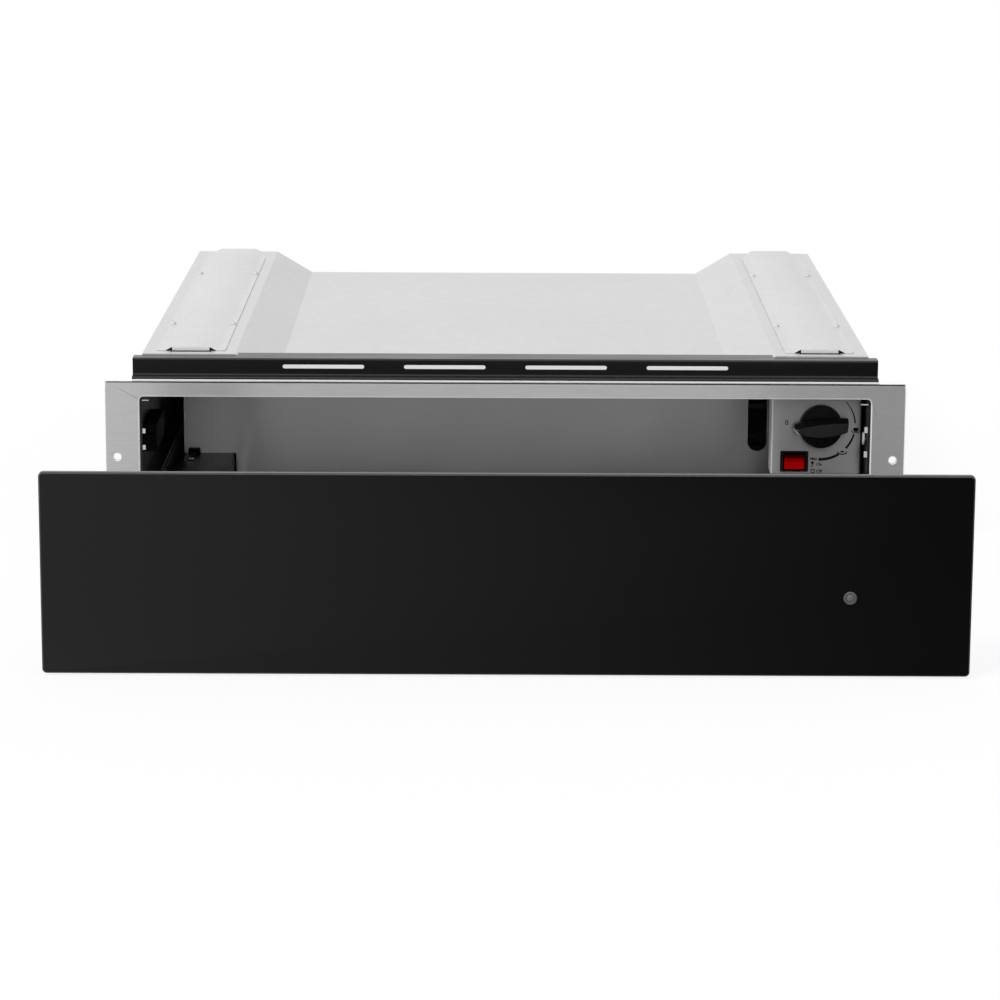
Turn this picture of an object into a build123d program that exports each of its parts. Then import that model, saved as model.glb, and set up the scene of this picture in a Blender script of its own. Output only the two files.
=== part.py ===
"""Built-in warming drawer for a 60 cm cabinet, drawn with its drawer pulled fully out.

Millimetres, +Z up. The front of the appliance faces -Y. The origin is the middle of the
casing's footprint, on its underside.
"""

import os

from build123d import *

os.makedirs("parts", exist_ok=True)

# ---------------------------------------------------------------- casing
casing_width = 539.0
casing_depth = 518.0  # front face of the steel frame to the rear panel
casing_height = 141.0  # underside to the side shoulders of the top sheet
sheet = 1.0  # galvanised steel sheet
bend_radius = 1.5
lap_width = 12.0  # riveted laps along the sheets' edges

front_y = -casing_depth / 2
rear_y = casing_depth / 2
wall_x = casing_width / 2 - sheet  # inner face of a side wall
shoulder_z = casing_height

# ---------------------------------------------------------------- top sheet and its rest rails
shoulder_width = 68.9
slope_width = 30.6
trough_drop = 18.3
top_front_setback = 18.5
rail_inset = 35.0
rail_width = 52.0
rail_crown_width = 38.0
rail_rise = 3.3
rail_flank_run = 5.3
rail_front_setback = 31.0
rail_rear_setback = 6.0
rail_tab_width = 28.0
rail_brim_cutback = 33.0
rail_rivet_setbacks = (141.5, 388.0)
rail_rivet_spread = 46.6
rivet_head_radius = 2.4
rivet_head_height = 1.0

shoulder_inner_x = casing_width / 2 - shoulder_width
trough_half_width = shoulder_inner_x - slope_width
trough_z = shoulder_z - trough_drop
rail_centre_x = casing_width / 2 - rail_inset

# ---------------------------------------------------------------- steel frame round the mouth
frame_lap = 26.5  # how far the frame reaches past the casing on each side
frame_top_z = 124.0
frame_bottom_z = 2.0
frame_sheet = 1.2
frame_corner = 1.5
mouth_side_clearance = 0.8
mouth_top_z = 112.0
mouth_bottom_z = 10.0
mouth_corner = 3.0
frame_lip_depth = 14.0
frame_ledge_depth = 27.0
fixing_hole_radius = 2.75
fixing_sink_radius = 3.3
fixing_hole_inset = 8.7
fixing_hole_z = 66.5
wall_flange_inset = 3.0
wall_step_clearance = 1.6

frame_width = casing_width + 2 * frame_lap
mouth_width = casing_width + 2 * mouth_side_clearance

# ---------------------------------------------------------------- black ventilation strip
strip_overhang = 6.0
strip_setback = 6.6
strip_top_drop = 1.0
strip_step_z = 127.2
strip_slot_length = 60.3
strip_slot_height = 3.0
strip_slot_pitch = 89.7
strip_slot_count = 4
strip_slot_z = 133.9
strip_tab_width = 40.0
strip_tab_depth = 20.0

strip_width = casing_width + 2 * strip_overhang

# ---------------------------------------------------------------- cavity ceiling and insulation
ceiling_sheet = 0.8
ceiling_z = mouth_top_z + frame_sheet
ceiling_rear_gap = 1.0
insulation_clearance = 0.3
insulation_front_setback = 40.0

# ---------------------------------------------------------------- base plate
vent_slot_length = 40.0
vent_slot_width = 3.5
vent_slot_pitch = 9.0
base_vent_count = 5
base_vent_inset = 64.5
base_vent_y = 120.0
bead_inset = 91.5
bead_width = 12.0
bead_length = 400.0
bead_height = 1.5
rear_vent_count = 6
rear_vent_x = -120.0
rear_vent_z = 62.0

base_vent_x = casing_width / 2 - base_vent_inset
bead_x = casing_width / 2 - bead_inset

# ---------------------------------------------------------------- drawer
drawer_travel = 335.0
closed_gap = 1.0  # steel front carrier to the frame, with the drawer shut
glass_overhang = 1.5  # glass past the steel frame on each side
glass_bottom_z = 1.5
glass_height = 132.0
glass_thickness = 4.5
glass_corner = 3.0
glass_bevel = 1.0
carrier_depth = 15.0
carrier_side_inset = 7.0
carrier_bottom_inset = 5.5
carrier_top_inset = 8.5
carrier_fold_clearance = 0.15
floor_underside_z = 18.0
tray_side_inset = 55.5  # room between a wall and the tray for the slides and a ledge
ledge_top_z = 35.2
rail_skirt = 16.0
floor_lap = 12.0
tray_closed_length = 497.0
back_wall_inset = 16.1
back_wall_top_z = 109.0
back_wall_fold = 8.0
air_slot_inset = 13.6
air_slot_width = 15.0
air_slot_bottom_z = 38.5
air_slot_height = 56.0
mat_thickness = 2.0
mat_margin = 8.0
stop_width = 9.0
stop_length = 30.0
stop_height = 5.0
stop_inset = 3.6
bracket_leg = 22.0
bracket_sheet = 1.5
bracket_height = 13.0
buffer_radius = 4.0
buffer_height = 0.7
buffer_inset = 10.5
buffer_low_z = 22.0
buffer_high_z = 112.0

drawer_y = front_y - drawer_travel  # where the frame's front plane lies as the drawer sees it
carrier_rear_y = drawer_y - closed_gap
carrier_front_y = carrier_rear_y - carrier_depth
glass_front_y = carrier_front_y - glass_thickness
glass_width = frame_width + 2 * glass_overhang
tray_half_width = wall_x - tray_side_inset
back_wall_half_width = wall_x - back_wall_inset
air_slot_x = tray_half_width - air_slot_inset
floor_top_z = floor_underside_z + sheet
tray_rear_y = drawer_y + tray_closed_length - sheet
floor_half_width = tray_half_width - bend_radius
carrier_half_width = glass_width / 2 - carrier_side_inset
carrier_bottom_z = glass_bottom_z + carrier_bottom_inset
carrier_top_z = glass_bottom_z + glass_height - carrier_top_inset
buffer_x = carrier_half_width - buffer_inset

# ---------------------------------------------------------------- telescopic slides
slide_height = 40.0
slide_width = 12.7
slide_length = 350.0
slide_front_setback = 6.0
slide_z = 30.5
slide_sheet = 1.2
ball_radius = 2.0
ball_clearance = 0.1
cage_sheet = 0.6
cage_gap = 0.3
cage_length = 110.0
cage_ball_pitch = 12.0
cage_ball_count = 9
outer_flange_depth = 11.0
middle_web_depth = 2.6
middle_flange_depth = 11.2
inner_flange_depth = 5.0

# ---------------------------------------------------------------- control plate and its housing
plate_width = 67.8
plate_side_clearance = 2.0
plate_bottom_z = 51.0
plate_setback = 22.0
plate_fold = 20.0
housing_inset = 6.5
housing_depth = 78.0
housing_roof_drop = 3.5

plate_right_x = wall_x - plate_side_clearance
plate_left_x = plate_right_x - plate_width

# ---------------------------------------------------------------- thermostat and its knob
knob_inset = 31.1
knob_z = 88.0
knob_radius = 16.0
knob_skirt = 6.0
knob_depth = 15.0
knob_gap = 1.0
grip_length = 40.0
grip_width = 11.5
grip_point = 7.0
spindle_radius = 3.0
spindle_clearance = 0.05
bush_radius = 5.0
thermostat_size = 34.0
thermostat_depth = 26.0
thermostat_screw_spacing = 22.0
thermostat_screw_radius = 1.9

knob_x = plate_right_x - knob_inset

# ---------------------------------------------------------------- rocker switch
switch_inset = 17.6
switch_z = 60.8
bezel_width = 19.8
bezel_height = 14.8
bezel_rim = 1.5
pocket_rim = 1.2
switch_case_inset = 0.9
switch_case_depth = 15.0
rocker_width = 14.9
rocker_height = 10.4
rocker_side_gap = 0.25
rocker_swing = 14.0
rocker_pivot_setback = 2.5
rocker_reach = 5.4
rocker_dip = 1.2
rocker_base_height = 8.3
rocker_pin_radius = 0.9
rocker_pin_length = 1.0
terminal_length = 8.0

switch_x = plate_left_x + switch_inset

# ---------------------------------------------------------------- indicator lens
lens_offset = 3.3  # from the middle of the switch, whose light it carries
lens_z = 53.4
lens_head_radius = 4.25
lens_dome = 0.6
light_guide_radius = 3.0
lens_clearance = 0.1

lens_x = switch_x + lens_offset

# ---------------------------------------------------------------- heater, fan and wiring
heater_radius = 3.2
heater_axis_z = 9.0
heater_run_pitch = 58.0
heater_bend_straight = 1.2  # straight stretch between the two bends of a turn
heater_front_y = -150.0
heater_rear_y = 190.0
heater_leg_rear_gap = 40.0
reflector_sheet = 0.8
reflector_margin = 18.0
heater_clip_width = 12.0
heater_clip_length = 6.0
cutout_inset = 77.5
cutout_y = 190.0
cutout_radius = 8.0
cutout_height = 6.0
fan_inset = 63.0
fan_z = 62.0
fan_size = 80.0
fan_depth = 15.0
fan_bore_radius = 37.5
fan_tip_clearance = 0.7
impeller_end_clearance = 0.3
fan_hub_radius = 15.0
fan_motor_radius = 13.0
fan_blade_count = 7
fan_blade_pitch = 38.0
fan_blade_thickness = 1.2
fan_shaft_radius = 1.5
fan_strut_width = 4.0
fan_strut_depth = 3.0
fan_screw_spacing = 71.5
terminal_block_inset = 40.5
terminal_block_width = 34.0
terminal_block_depth = 25.0
terminal_block_height = 18.0
gland_z = 126.0
gland_bore_radius = 4.0
gland_body_radius = 7.5
gland_neck_radius = 6.0
gland_length = 12.0
gland_nut_radius = 9.0
gland_nut_height = 4.0
wire_radius = 1.5
loom_radius = 3.0
loom_inset = 43.5
channel_z = 127.0
capillary_radius = 1.0
capillary_inset = 17.5
bulb_radius = 3.0
bulb_top_z = 100.0
bulb_length = 60.0
bulb_clip_width = 8.0
bulb_clip_height = 5.0
rear_service_gap = 8.0
service_hole_clearance = 1.5
loom_drop_setback = 46.8  # from the control plate to the wires that come down behind it
loom_bend_radius = 12.0
wire_bend_radius = 6.0

cutout_x = casing_width / 2 - cutout_inset
fan_x = tray_half_width - fan_inset
terminal_block_x = casing_width / 2 - terminal_block_inset
loom_x = casing_width / 2 - loom_inset
capillary_x = casing_width / 2 - capillary_inset

# ---------------------------------------------------------------- push latch
latch_length = 60.0
latch_width = 10.0
latch_height = 20.0
latch_z = 80.0
latch_setback = 4.0
latch_end_gap = 0.7
plunger_radius = 3.5
plunger_travel = 3.0
plunger_clearance = 0.05
plunger_depth = 24.0
screw_head_radius = 2.8
screw_head_height = 1.4


def facing_front(y):
    """Sketch plane at depth y, with X to the right and Z up; extrusions come forwards."""
    return Plane(origin=(0, y, 0), x_dir=(1, 0, 0), z_dir=(0, -1, 0))


def folded_sheet(points, thickness, side):
    """Section of a folded sheet: a line with rounded bends, thickened to one side."""
    with BuildSketch() as section:
        with BuildLine():
            fold_line = FilletPolyline(*points, radius=bend_radius)
            offset(fold_line, amount=thickness, side=side)
        make_face()
    return section.sketch


def upright_box(x_range, y_range, z_range):
    """Closed box between two limits on each axis."""
    with BuildPart() as box:
        with BuildSketch(Plane.XY.offset(z_range[0])):
            with Locations(((x_range[0] + x_range[1]) / 2, (y_range[0] + y_range[1]) / 2)):
                Rectangle(x_range[1] - x_range[0], y_range[1] - y_range[0])
        extrude(amount=z_range[1] - z_range[0])
    return box.part


# ================================================================ casing shell
# Base plate: flat sheet with two pressed stiffening beads and two fields of air slots.
with BuildPart() as base_plate:
    with BuildSketch():
        with Locations((0, frame_sheet / 2)):
            Rectangle(casing_width, casing_depth - frame_sheet)
    extrude(amount=sheet)
    with BuildSketch(Plane.XY.offset(sheet)):
        with Locations((-bead_x, 0), (bead_x, 0)):
            SlotOverall(bead_length, bead_width, rotation=90)
    extrude(amount=bead_height)
    with BuildSketch():
        with Locations((-bead_x, 0), (bead_x, 0)):
            SlotOverall(bead_length - 2 * sheet, bead_width - 2 * sheet, rotation=90)
    extrude(amount=bead_height, mode=Mode.SUBTRACT)
    with BuildSketch():
        for side_sign in (-1, 1):
            for row_sign in (-1, 1):
                with Locations((side_sign * base_vent_x, row_sign * base_vent_y)):
                    with GridLocations(0, vent_slot_pitch, 1, base_vent_count):
                        SlotOverall(vent_slot_length - bead_width, vent_slot_width)
    extrude(amount=sheet, mode=Mode.SUBTRACT)
base_plate.part.label = "base_plate"
export_step(base_plate.part, "parts/base_plate.step")

# Side wall: upright sheet with an outward flange behind the frame and laps for the rivets.
wall_step_y = front_y + top_front_setback + wall_step_clearance
wall_flange_top_z = frame_top_z - wall_flange_inset
wall_flange_bottom_z = frame_bottom_z + wall_flange_inset
with BuildPart() as side_wall_right:
    with BuildSketch(Plane.YZ.offset(wall_x)):
        with BuildLine():
            Polyline(
                (front_y + frame_sheet, sheet),
                (rear_y, sheet),
                (rear_y, shoulder_z - sheet),
                (wall_step_y, shoulder_z - sheet),
                (wall_step_y, frame_top_z),
                (front_y + frame_sheet, frame_top_z),
                close=True,
            )
        make_face()
    extrude(amount=sheet)
    flange_outer_x = frame_width / 2 - wall_flange_inset
    add(
        upright_box(
            (wall_x, flange_outer_x),
            (front_y + frame_sheet, front_y + frame_sheet + sheet),
            (wall_flange_bottom_z, wall_flange_top_z),
        )
    )
    add(
        upright_box(
            (wall_x - lap_width, wall_x),
            (front_y + lap_width, rear_y - 2 * sheet),
            (sheet, 2 * sheet),
        )
    )
    add(
        upright_box(
            (wall_x - lap_width, wall_x),
            (wall_step_y + sheet, rear_y - 2 * sheet),
            (shoulder_z - 2 * sheet, shoulder_z - sheet),
        )
    )
    add(
        upright_box(
            (wall_x - lap_width, wall_x),
            (rear_y - 2 * sheet, rear_y - sheet),
            (3 * sheet, shoulder_z - 3 * sheet),
        )
    )
    with BuildSketch(facing_front(front_y + frame_sheet + sheet)):
        with Locations((frame_width / 2 - fixing_hole_inset, fixing_hole_z)):
            Circle(fixing_hole_radius)
    extrude(amount=sheet, mode=Mode.SUBTRACT)
side_wall_right.part.label = "side_wall_right"
export_step(side_wall_right.part, "parts/side_wall_right.step")

with BuildPart() as side_wall_left:
    mirror(side_wall_right.part, about=Plane.YZ)
side_wall_left.part.label = "side_wall_left"
export_step(side_wall_left.part, "parts/side_wall_left.step")

# Top sheet: two level shoulders and a lower trough between them, folded from one sheet.
with BuildPart() as top_sheet:
    with BuildSketch(facing_front(rear_y)):
        add(
            folded_sheet(
                [
                    (-casing_width / 2, shoulder_z),
                    (-shoulder_inner_x, shoulder_z),
                    (-trough_half_width, trough_z),
                    (trough_half_width, trough_z),
                    (shoulder_inner_x, shoulder_z),
                    (casing_width / 2, shoulder_z),
                ],
                sheet,
                Side.RIGHT,
            )
        )
    extrude(amount=casing_depth - top_front_setback)
top_sheet.part.label = "top_sheet"
export_step(top_sheet.part, "parts/top_sheet.step")

# Rear panel: fills the end between the walls, under the trough, with air slots and a gland hole.
with BuildPart() as rear_panel:
    with BuildSketch(facing_front(rear_y)):
        with BuildLine():
            Polyline(
                (-wall_x, sheet),
                (wall_x, sheet),
                (wall_x, shoulder_z - sheet),
                (shoulder_inner_x + sheet, shoulder_z - sheet),
                (trough_half_width + sheet, trough_z - sheet),
                (-trough_half_width - sheet, trough_z - sheet),
                (-shoulder_inner_x - sheet, shoulder_z - sheet),
                (-wall_x, shoulder_z - sheet),
                close=True,
            )
        make_face()
        with Locations((terminal_block_x, gland_z)):
            Circle(gland_neck_radius, mode=Mode.SUBTRACT)
        with Locations((rear_vent_x, rear_vent_z)):
            with GridLocations(0, vent_slot_pitch, 1, rear_vent_count):
                SlotOverall(vent_slot_length, vent_slot_width, mode=Mode.SUBTRACT)
    extrude(amount=sheet)
rear_panel.part.label = "rear_panel"
export_step(rear_panel.part, "parts/rear_panel.step")

# Front frame: brushed stainless flange round the mouth, with one fixing hole on each side.
with BuildPart() as front_frame:
    frame_middle_z = (frame_top_z + frame_bottom_z) / 2
    mouth_middle_z = (mouth_top_z + mouth_bottom_z) / 2
    with BuildSketch(facing_front(front_y + frame_sheet)):
        with Locations((0, frame_middle_z)):
            RectangleRounded(frame_width, frame_top_z - frame_bottom_z, frame_corner)
        with Locations((0, mouth_middle_z)):
            RectangleRounded(
                mouth_width, mouth_top_z - mouth_bottom_z, mouth_corner, mode=Mode.SUBTRACT
            )
    extrude(amount=frame_sheet)
    hole_x = frame_width / 2 - fixing_hole_inset
    for hole_side in (-1, 1):
        with Locations(Plane(origin=(hole_side * hole_x, front_y, fixing_hole_z), z_dir=(0, -1, 0))):
            CounterSinkHole(fixing_hole_radius, fixing_sink_radius, depth=frame_sheet)
    add(
        upright_box(
            (-wall_x + lap_width, wall_x - lap_width),
            (front_y + frame_sheet, front_y + frame_lip_depth),
            (mouth_top_z, mouth_top_z + frame_sheet),
        )
    )
    add(
        upright_box(
            (-trough_half_width + sheet, trough_half_width - sheet),
            (front_y + frame_sheet, front_y + frame_ledge_depth),
            (trough_z, frame_top_z),
        )
    )
front_frame.part.label = "front_frame"
export_step(front_frame.part, "parts/front_frame.step")

# Ventilation strip: black folded sheet above the frame, with four long slots in its face.
strip_top_z = shoulder_z - strip_top_drop
strip_face_y = front_y + strip_setback
with BuildPart() as vent_strip:
    with BuildSketch(Plane.YZ.offset(-strip_width / 2)):
        add(
            folded_sheet(
                [
                    (front_y + top_front_setback, strip_top_z),
                    (strip_face_y, strip_top_z),
                    (strip_face_y, strip_step_z),
                    (front_y, strip_step_z),
                    (front_y, frame_top_z),
                ],
                sheet,
                Side.LEFT,
            )
        )
    extrude(amount=strip_width)
    tab_x = (shoulder_inner_x + wall_x - lap_width) / 2
    for tab_side in (-1, 1):
        add(
            upright_box(
                (tab_side * tab_x - strip_tab_width / 2, tab_side * tab_x + strip_tab_width / 2),
                (front_y + top_front_setback, front_y + top_front_setback + strip_tab_depth),
                (strip_top_z - sheet, strip_top_z),
            )
        )
    with BuildSketch(facing_front(strip_face_y + sheet)):
        with Locations((0, strip_slot_z)):
            with GridLocations(strip_slot_pitch, 0, strip_slot_count, 1):
                SlotOverall(strip_slot_length, strip_slot_height)
    extrude(amount=sheet, mode=Mode.SUBTRACT)
vent_strip.part.label = "vent_strip"
export_step(vent_strip.part, "parts/vent_strip.step")

# Rest rail: a shallow hat section riveted on each shoulder, which the oven above stands on.
rail_front_y = front_y + rail_front_setback
rail_rear_y = rear_y - rail_rear_setback
crown_z = shoulder_z + rail_rise
brim_z = shoulder_z + sheet
half_rail = rail_width / 2
half_crown = rail_crown_width / 2
with BuildPart() as rest_rail_right:
    with BuildSketch(facing_front(rail_rear_y)):
        with BuildLine():
            Polyline(
                (rail_centre_x - half_rail, shoulder_z),
                (rail_centre_x - half_crown, shoulder_z),
                (rail_centre_x - half_crown + rail_flank_run - sheet, crown_z - sheet),
                (rail_centre_x + half_crown - rail_flank_run + sheet, crown_z - sheet),
                (rail_centre_x + half_crown, shoulder_z),
                (rail_centre_x + half_rail, shoulder_z),
                (rail_centre_x + half_rail, brim_z),
                (rail_centre_x + half_crown + sheet / 2, brim_z),
                (rail_centre_x + half_crown - rail_flank_run + 1.5 * sheet, crown_z),
                (rail_centre_x - half_crown + rail_flank_run - 1.5 * sheet, crown_z),
                (rail_centre_x - half_crown - sheet / 2, brim_z),
                (rail_centre_x - half_rail, brim_z),
                close=True,
            )
        make_face()
    extrude(amount=rail_rear_y - rail_front_y)
    add(
        upright_box(
            (rail_centre_x - rail_tab_width / 2, rail_centre_x + rail_tab_width / 2),
            (rail_front_y, rail_front_y + sheet),
            (shoulder_z, crown_z - sheet / 2),
        )
    )
    with BuildSketch(Plane.XY.offset(shoulder_z)):
        brim_inner_x = rail_centre_x - half_rail
        with BuildLine():
            Polyline(
                (brim_inner_x, rail_rear_y),
                (brim_inner_x, rail_rear_y - rail_brim_cutback),
                (rail_centre_x - half_crown - sheet / 2, rail_rear_y),
                close=True,
            )
        make_face()
    extrude(amount=sheet, mode=Mode.SUBTRACT)
    corner_edges = rest_rail_right.edges().filter_by(Axis.Z).group_by(Axis.Y)[0]
    fillet([corner_edges.sort_by(Axis.X)[0], corner_edges.sort_by(Axis.X)[-1]], 2 * bend_radius)
rest_rail_right.part.label = "rest_rail_right"
export_step(rest_rail_right.part, "parts/rest_rail_right.step")

with BuildPart() as rest_rail_left:
    mirror(rest_rail_right.part, about=Plane.YZ)
rest_rail_left.part.label = "rest_rail_left"
export_step(rest_rail_left.part, "parts/rest_rail_left.step")

# Rail rivets: eight low domed heads on the rails' brims.
with BuildPart() as rest_rail_rivets:
    rivet_places = [
        (rail_side * (rail_centre_x + spread), front_y + setback, brim_z)
        for rail_side in (-1, 1)
        for spread in (-rail_rivet_spread / 2, rail_rivet_spread / 2)
        for setback in rail_rivet_setbacks
    ]
    with Locations(*rivet_places):
        Cone(
            rivet_head_radius,
            rivet_head_radius / 2,
            rivet_head_height,
            align=(Align.CENTER, Align.CENTER, Align.MIN),
        )
rest_rail_rivets.part.label = "rest_rail_rivets"
export_step(rest_rail_rivets.part, "parts/rest_rail_rivets.step")

# Casing rivets: heads on the outside of the walls, where they lap the base and the top sheet.
wall_rivet_count = 5
wall_rivet_pitch = (casing_depth - 2 * lap_width - top_front_setback) / wall_rivet_count
with BuildPart() as casing_rivets:
    for rivet_side in (-1, 1):
        rivet_rows = (2 * sheet + lap_width / 2, shoulder_z - sheet - lap_width / 2)
        wall_rivets = [
            (rivet_side * casing_width / 2, rear_y - lap_width / 2 - step * wall_rivet_pitch, row_z)
            for step in range(wall_rivet_count)
            for row_z in rivet_rows
        ]
        for place in wall_rivets:
            with Locations(Plane(origin=place, z_dir=(rivet_side, 0, 0))):
                Cone(
                    rivet_head_radius,
                    rivet_head_radius / 2,
                    rivet_head_height,
                    align=(Align.CENTER, Align.CENTER, Align.MIN),
                )
casing_rivets.part.label = "casing_rivets"
export_step(casing_rivets.part, "parts/casing_rivets.step")

# Cavity ceiling: plain inner sheet between the walls, lapped over the frame's upper lip.
lead_rise_xs = (
    terminal_block_x - terminal_block_width / 4,
    terminal_block_x + terminal_block_width / 4,
)
service_y = rear_y - sheet - rear_service_gap
plate_y = front_y + plate_setback
loom_front_y = plate_y + loom_drop_setback
with BuildPart() as cavity_ceiling:
    with BuildSketch(Plane.XY.offset(ceiling_z)):
        ceiling_front_y = front_y + frame_sheet + sheet
        ceiling_rear_y = rear_y - sheet - ceiling_rear_gap
        with Locations((0, (ceiling_front_y + ceiling_rear_y) / 2)):
            Rectangle(2 * wall_x, ceiling_rear_y - ceiling_front_y)
        with Locations((loom_x, loom_front_y)):
            Circle(loom_radius + service_hole_clearance, mode=Mode.SUBTRACT)
        with Locations((capillary_x, loom_front_y), (capillary_x, service_y)):
            Circle(capillary_radius + service_hole_clearance, mode=Mode.SUBTRACT)
        with Locations(*[(lead_x, service_y) for lead_x in lead_rise_xs]):
            Circle(wire_radius + service_hole_clearance, mode=Mode.SUBTRACT)
        for lap_side in (-1, 1):
            with Locations((lap_side * (wall_x - lap_width / 2), rear_y - sheet)):
                Rectangle(lap_width + sheet, 3 * sheet, mode=Mode.SUBTRACT)
    extrude(amount=ceiling_sheet)
cavity_ceiling.part.label = "cavity_ceiling"
export_step(cavity_ceiling.part, "parts/cavity_ceiling.step")

# Insulation: mineral-wool board between the ceiling and the trough of the top sheet.
with BuildPart() as insulation_board:
    add(
        upright_box(
            (-trough_half_width + 2 * sheet, trough_half_width - 2 * sheet),
            (front_y + insulation_front_setback, rear_y - lap_width),
            (ceiling_z + ceiling_sheet, trough_z - sheet - insulation_clearance),
        )
    )
insulation_board.part.label = "insulation_board"
export_step(insulation_board.part, "parts/insulation_board.step")

# ================================================================ controls
# Control plate: stainless plate inside the mouth, folded back at both sides and along the top.
with BuildPart() as control_plate:
    with BuildSketch(Plane.XY.offset(plate_bottom_z)):
        add(
            folded_sheet(
                [
                    (plate_left_x, plate_y + plate_fold),
                    (plate_left_x, plate_y),
                    (plate_right_x, plate_y),
                    (plate_right_x, plate_y + plate_fold),
                ],
                sheet,
                Side.LEFT,
            )
        )
    extrude(amount=ceiling_z - plate_bottom_z)
    add(
        upright_box(
            (plate_left_x + 2 * bend_radius, plate_right_x - 2 * bend_radius),
            (plate_y + sheet, plate_y + lap_width),
            (ceiling_z - sheet, ceiling_z),
        )
    )
    with BuildSketch(facing_front(plate_y + sheet)):
        with Locations((knob_x, knob_z)):
            Circle(bush_radius)
            with GridLocations(thermostat_screw_spacing, 0, 2, 1):
                Circle(thermostat_screw_radius)
        with Locations((switch_x, switch_z)):
            Rectangle(bezel_width - 2 * switch_case_inset, bezel_height - 2 * switch_case_inset)
    extrude(amount=sheet, mode=Mode.SUBTRACT)
control_plate.part.label = "control_plate"
export_step(control_plate.part, "parts/control_plate.step")

# Control housing: galvanised box behind the plate that keeps fingers and plates off the wiring.
housing_x = (plate_left_x + housing_inset, plate_right_x - housing_inset)
housing_z = (plate_bottom_z + 2 * sheet, ceiling_z - housing_roof_drop)
housing_y = (plate_y + sheet, plate_y + sheet + housing_depth)
with BuildPart() as control_housing:
    add(upright_box(housing_x, housing_y, housing_z))
    add(
        upright_box(
            (housing_x[0] + sheet, housing_x[1] - sheet),
            (housing_y[0], housing_y[1] - sheet),
            (housing_z[0] + sheet, housing_z[1] - sheet),
        ),
        mode=Mode.SUBTRACT,
    )
    with BuildSketch(Plane.XY.offset(housing_z[1] - sheet)):
        with Locations((loom_x, loom_front_y)):
            Circle(loom_radius + service_hole_clearance)
        with Locations((capillary_x, loom_front_y)):
            Circle(capillary_radius + service_hole_clearance)
        with Locations(((housing_x[0] + housing_x[1]) / 2, plate_y + lap_width / 2)):
            Rectangle(plate_width - 4 * bend_radius, lap_width + sheet)
    extrude(amount=sheet, mode=Mode.SUBTRACT)
control_housing.part.label = "control_housing"
export_step(control_housing.part, "parts/control_housing.step")

# Thermostat: square case with a threaded bush that the spindle turns in.
bush_front_y = plate_y - knob_gap / 2
thermostat_rear_y = plate_y + sheet + thermostat_depth
with BuildPart() as thermostat_body:
    with BuildSketch(facing_front(thermostat_rear_y)):
        with Locations((knob_x, knob_z)):
            RectangleRounded(thermostat_size, thermostat_size, bend_radius)
    extrude(amount=thermostat_depth)
    with BuildSketch(facing_front(plate_y + sheet)):
        with Locations((knob_x, knob_z)):
            Circle(bush_radius - spindle_clearance)
    extrude(amount=plate_y + sheet - bush_front_y)
    with BuildSketch(facing_front(thermostat_rear_y - bend_radius)):
        with Locations((knob_x, knob_z)):
            Circle(spindle_radius + spindle_clearance)
    extrude(amount=thermostat_depth + sheet + knob_gap, mode=Mode.SUBTRACT)
thermostat_body.part.label = "thermostat_body"
export_step(thermostat_body.part, "parts/thermostat_body.step")

# Thermostat screws: two pan heads on the plate, hidden behind the knob.
with BuildPart() as thermostat_screws:
    with BuildSketch(facing_front(plate_y + sheet)):
        with Locations((knob_x, knob_z)):
            with GridLocations(thermostat_screw_spacing, 0, 2, 1):
                Circle(thermostat_screw_radius - spindle_clearance)
    extrude(amount=sheet)
    with BuildSketch(facing_front(plate_y)):
        with Locations((knob_x, knob_z)):
            with GridLocations(thermostat_screw_spacing, 0, 2, 1):
                Circle(screw_head_radius)
    extrude(amount=knob_gap / 2)
thermostat_screws.part.label = "thermostat_screws"
export_step(thermostat_screws.part, "parts/thermostat_screws.step")

# Spindle: plain steel pin from inside the thermostat into the knob.
knob_rear_y = plate_y - knob_gap
knob_front_y = knob_rear_y - knob_depth
spindle_rear_y = thermostat_rear_y - 2 * bend_radius
spindle_front_y = knob_front_y + knob_depth / 3
with BuildPart() as thermostat_spindle:
    with BuildSketch(facing_front(spindle_rear_y)):
        with Locations((knob_x, knob_z)):
            Circle(spindle_radius)
    extrude(amount=spindle_rear_y - spindle_front_y)
thermostat_spindle.part.label = "thermostat_spindle"
export_step(thermostat_spindle.part, "parts/thermostat_spindle.step")

# Control knob: round skirt with a long grip across it, which points at the scale.
with BuildPart() as control_knob:
    with BuildSketch(facing_front(knob_rear_y)):
        with Locations((knob_x, knob_z)):
            Circle(knob_radius)
    extrude(amount=knob_skirt)
    with BuildSketch(facing_front(knob_rear_y - knob_skirt)):
        with Locations((knob_x, knob_z)):
            Polygon(
                (-grip_length / 2, 0),
                (-grip_length / 2 + grip_point, -grip_width / 2),
                (grip_length / 2, -grip_width / 2),
                (grip_length / 2, grip_width / 2),
                (-grip_length / 2 + grip_point, grip_width / 2),
                align=None,
            )
    extrude(amount=knob_depth - knob_skirt)
    with BuildSketch(facing_front(knob_rear_y)):
        with Locations((knob_x, knob_z)):
            Circle(spindle_radius)
    extrude(amount=knob_rear_y - spindle_front_y, mode=Mode.SUBTRACT)
    fillet(control_knob.faces().sort_by(Axis.Y)[0].edges(), 2 * sheet)
control_knob.part.label = "control_knob"
export_step(control_knob.part, "parts/control_knob.step")

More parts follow.
